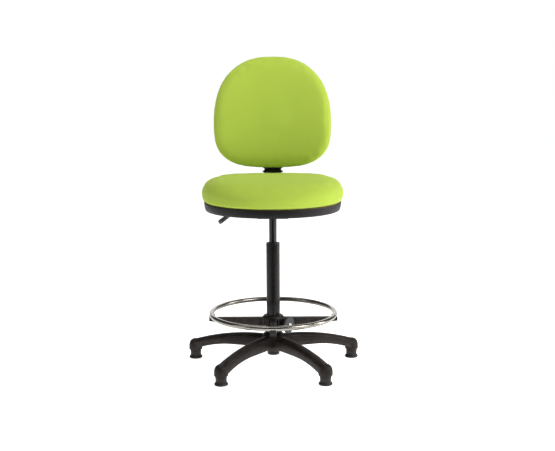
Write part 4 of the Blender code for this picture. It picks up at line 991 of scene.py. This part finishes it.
def swollen(piece, most, held, frames=20):
    """Lets the foam push the cover out, with the held places fixed to the board."""
    start = [vert.co.copy() for vert in piece.data.vertices]
    pinned = piece.vertex_groups.new(name="pinned")
    for vert in piece.data.vertices:
        pinned.add([vert.index], held(vert.co), "REPLACE")
    cloth = modified(piece, "CLOTH")
    for key, value in dict(use_pressure=True, uniform_pressure_force=3.0, quality=4, mass=0.25,
                           tension_stiffness=18, compression_stiffness=18, shear_stiffness=8,
                           bending_stiffness=2.0, vertex_group_mass="pinned").items():
        setattr(cloth.settings, key, value)
    cloth.settings.effector_weights.gravity = 0
    cloth.point_cache.frame_start, cloth.point_cache.frame_end = 1, frames
    for number in range(1, frames + 1):
        bpy.context.scene.frame_set(number)
    applied(piece)
    bpy.context.scene.frame_set(1)
    for vert, place in zip(piece.data.vertices, start):
        moved = vert.co - place
        if moved.length > most:
            vert.co = place + moved.normalized() * most


def upholstered(piece, most, held):
    """Fills the cover: remeshes it, lets cloth swell under pressure, caps each point and smooths it."""
    modified(piece, "REMESH", mode="VOXEL", voxel_size=0.006, use_smooth_shade=True)
    applied(piece)
    swollen(piece, most, held)
    modified(piece, "SMOOTH", factor=0.5, iterations=8)
    modified(piece, "SUBSURF", levels=1, render_levels=1)
    applied(piece)
    piece.vertex_groups.clear()
    piece.data.shade_smooth()


cushion_low, cushion_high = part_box("seat_cushion")
under, crown = cushion_low.z, cushion_high.z
seat_rows = [
    (0.110, under), (0.040, under), (0.004, under), (-0.0010, under + 0.002), (-0.0045, under + 0.009),
    (-0.0075, under + 0.022), (-0.0095, crown - 0.036, 0.006), (-0.0075, crown - 0.023, 0.014),
    (-0.0010, crown - 0.0115, 0.020), (0.010, crown - 0.0035, 0.021), (0.028, crown + 0.0012, 0.018),
    (0.058, crown + 0.0025, 0.012), (0.100, crown + 0.0025, 0.008), (0.170, crown + 0.0025),
]
seat_pad = finished("seat_upholstery", bridged([seat_hoop(*row) for row in seat_rows]), green_fabric)
upholstered(seat_pad, 0.004, lambda place: 1.0 if place.z < under + 0.006 else 0.0)


# Back bar: flat steel strip, bent up behind the seat and coated black, its edges left slightly
# rounded from the rolling mill. It carries the whole back.
def rounded_copy(node_name, name, width, material):
    """A CAD node's own shape with its edges eased."""
    bm = bmesh.new()
    bm.from_mesh(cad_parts[node_name].data)
    bmesh.ops.remove_doubles(bm, verts=bm.verts, dist=1e-5)
    bmesh.ops.dissolve_limit(bm, angle_limit=math.radians(1), verts=bm.verts, edges=bm.edges)
    bmesh.ops.recalc_face_normals(bm, faces=bm.faces)
    made = finished(name, bm, material)
    modified(made, "BEVEL", width=width, segments=3, limit_method="ANGLE", angle_limit=math.radians(40))
    return applied(made)


bar = rounded_copy("back_bar", "back_bar_strip", 0.0012, painted_steel)
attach(bar, "back_support")
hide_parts("back_bar")


# Bellows: a soft rubber gaiter of six folds that hides the bar between seat and back. On the chair it
# closes up and opens out as the back slides; here it is one fixed shape.
rake = math.radians(6)
back_height, gaiter_foot = 0.866, 0.608
back_origin = Vector((0, 0.227177, back_height))
back_frame = Matrix.Translation(back_origin) @ Matrix.Rotation(-rake, 4, "X")


def bellows_hoop(half_x, half_y, corner, height, steps=6):
    places = []
    for quarter, (sign_x, sign_y) in enumerate(((1, 1), (-1, 1), (-1, -1), (1, -1))):
        for step in range(steps + 1):
            angle = (quarter + step / steps) * math.pi / 2
            places.append((sign_x * (half_x - corner) + corner * math.cos(angle),
                           sign_y * (half_y - corner) + corner * math.sin(angle), height))
    return places


bellows_top = -0.161
bellows_low = (gaiter_foot - back_height) / math.cos(rake)
folds, fold_steps = 6, 10
valley, crest = (0.0315, 0.0115), (0.040, 0.018)
bellows_hoops = []
for step in range(folds * fold_steps + 1):
    share = step / (folds * fold_steps)
    wave = (0.5 + 0.5 * math.cos(math.tau * share * folds)) ** 1.3
    half_x, half_y = (low + (high - low) * wave for low, high in zip(valley, crest))
    bellows_hoops.append(bellows_hoop(half_x, half_y, 0.009,
                                      bellows_low + (bellows_top - bellows_low) * share))
middle_z = (bellows_top + bellows_low) / 2
inner_hoops = [[(x * 0.95, y * 0.87, middle_z + (z - middle_z) * 0.985) for x, y, z in places]
               for places in reversed(bellows_hoops)]
bellows_mesh = bridged(bellows_hoops + inner_hoops, looped=True)
bellows = finished("bar_bellows", bellows_mesh, black_rubber, back_frame, 60)
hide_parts("bar_gaiter")
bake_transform(bellows)


# Back shell: the black plastic cover over the rear of the back, dished to follow it, with a rolled
# rim and a slot in its lower edge for the bar. It is sprung over the edge of the board.
back_half, back_up, back_down, dish = 0.2185, 0.249, 0.159, 0.036


def back_hoop(inset, depth, taller=0.0, count=96):
    """The back's outline at a depth, its sides brought forward by the dish."""
    places = []
    down, up = back_down - inset + taller, back_up - inset + taller
    for step in range(count):
        x, z = outline(math.tau * step / count, back_half - inset, down, up, 3.1, 2.4)
        places.append((x, depth - dish * (x / back_half) ** 2, z))
    return places


lip = -0.0225
outer = [(0.0042, lip), (0.0030, lip + 0.0006), (0.0022, lip + 0.003), (0.0022, lip + 0.010),
         (0.006, -0.003), (0.014, 0.006), (0.027, 0.0150), (0.045, 0.0220), (0.066, 0.0262),
         (0.090, 0.0282), (0.120, 0.0295), (0.150, 0.030)]
inner = [(0.150, 0.027), (0.120, 0.0265), (0.090, 0.0252), (0.066, 0.0232), (0.047, 0.0190),
         (0.030, 0.0122), (0.0175, 0.0040), (0.0095, -0.004), (0.0052, lip + 0.010), (0.0052, lip + 0.001)]
cover_mesh = bridged([back_hoop(inset, depth) for inset, depth in inner + outer])
cover = finished("back_cover", cover_mesh, shell_plastic, back_frame)
strip_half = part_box("back_bar")[1].x + 0.002
cut_by(cover, box_mesh((-strip_half, lip + 0.006, -0.18), (strip_half, 0.021, -0.131)), back_frame)
clamp_facing = back_frame @ Matrix.Translation((0, 0, -0.080)) @ Matrix.Rotation(-math.pi / 2, 4, "X")
cut_by(cover, lathe([(0, 0.006), (0.007, 0.006), (0.007, 0.06), (0, 0.06)], 32), clamp_facing)
smoothed(cover, 40)
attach(cover, "backrest")
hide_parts("back_shell")
back_start = 0.032
back_wheel = finished("back_hand_wheel", knob_mesh(knob_radius, back_start), knob_plastic, clamp_facing, 40)
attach(back_wheel, "back_knob")
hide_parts("back_clamp_knob")
back_cap = finished("back_wheel_cap", knob_cap(back_start), plated_steel, clamp_facing, 40)
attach(back_cap, "back_knob")


# Back cushion: the same crepe over moulded foam, dished across to hold the sitter and fuller at
# the foot for the lumbar, wrapped round the board's edge into the shell.
rear = lip - 0.0025
front = -0.080
back_rows = [
    (0.110, rear - 0.0005), (0.040, rear - 0.0005), (0.013, rear - 0.001), (0.003, rear - 0.004),
    (0.0005, rear - 0.010, 0.002), (-0.0005, rear - 0.022, 0.006), (0.0005, rear - 0.033, 0.008),
    (0.0065, rear - 0.0415, 0.008), (0.0155, front + 0.0082, 0.006), (0.030, front + 0.0044, 0.004),
    (0.052, front + 0.0026, 0.002), (0.085, front + 0.0018), (0.140, front + 0.0016),
]
cushion_mesh = bridged([back_hoop(*row) for row in back_rows])
back_pad = finished("back_upholstery", cushion_mesh, green_fabric, back_frame)
back_inverse = back_frame.inverted()


def held_behind(place):
    """Fixes the cover where it turns over the board's rear face."""
    local = back_inverse @ place
    return 1.0 if local.y + dish * (local.x / back_half) ** 2 > rear - 0.004 else 0.0


upholstered(back_pad, 0.0035, held_behind)
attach(back_pad, "backrest")
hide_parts("back_cushion")
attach(seat_pad, "seat")
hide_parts("seat_cushion")
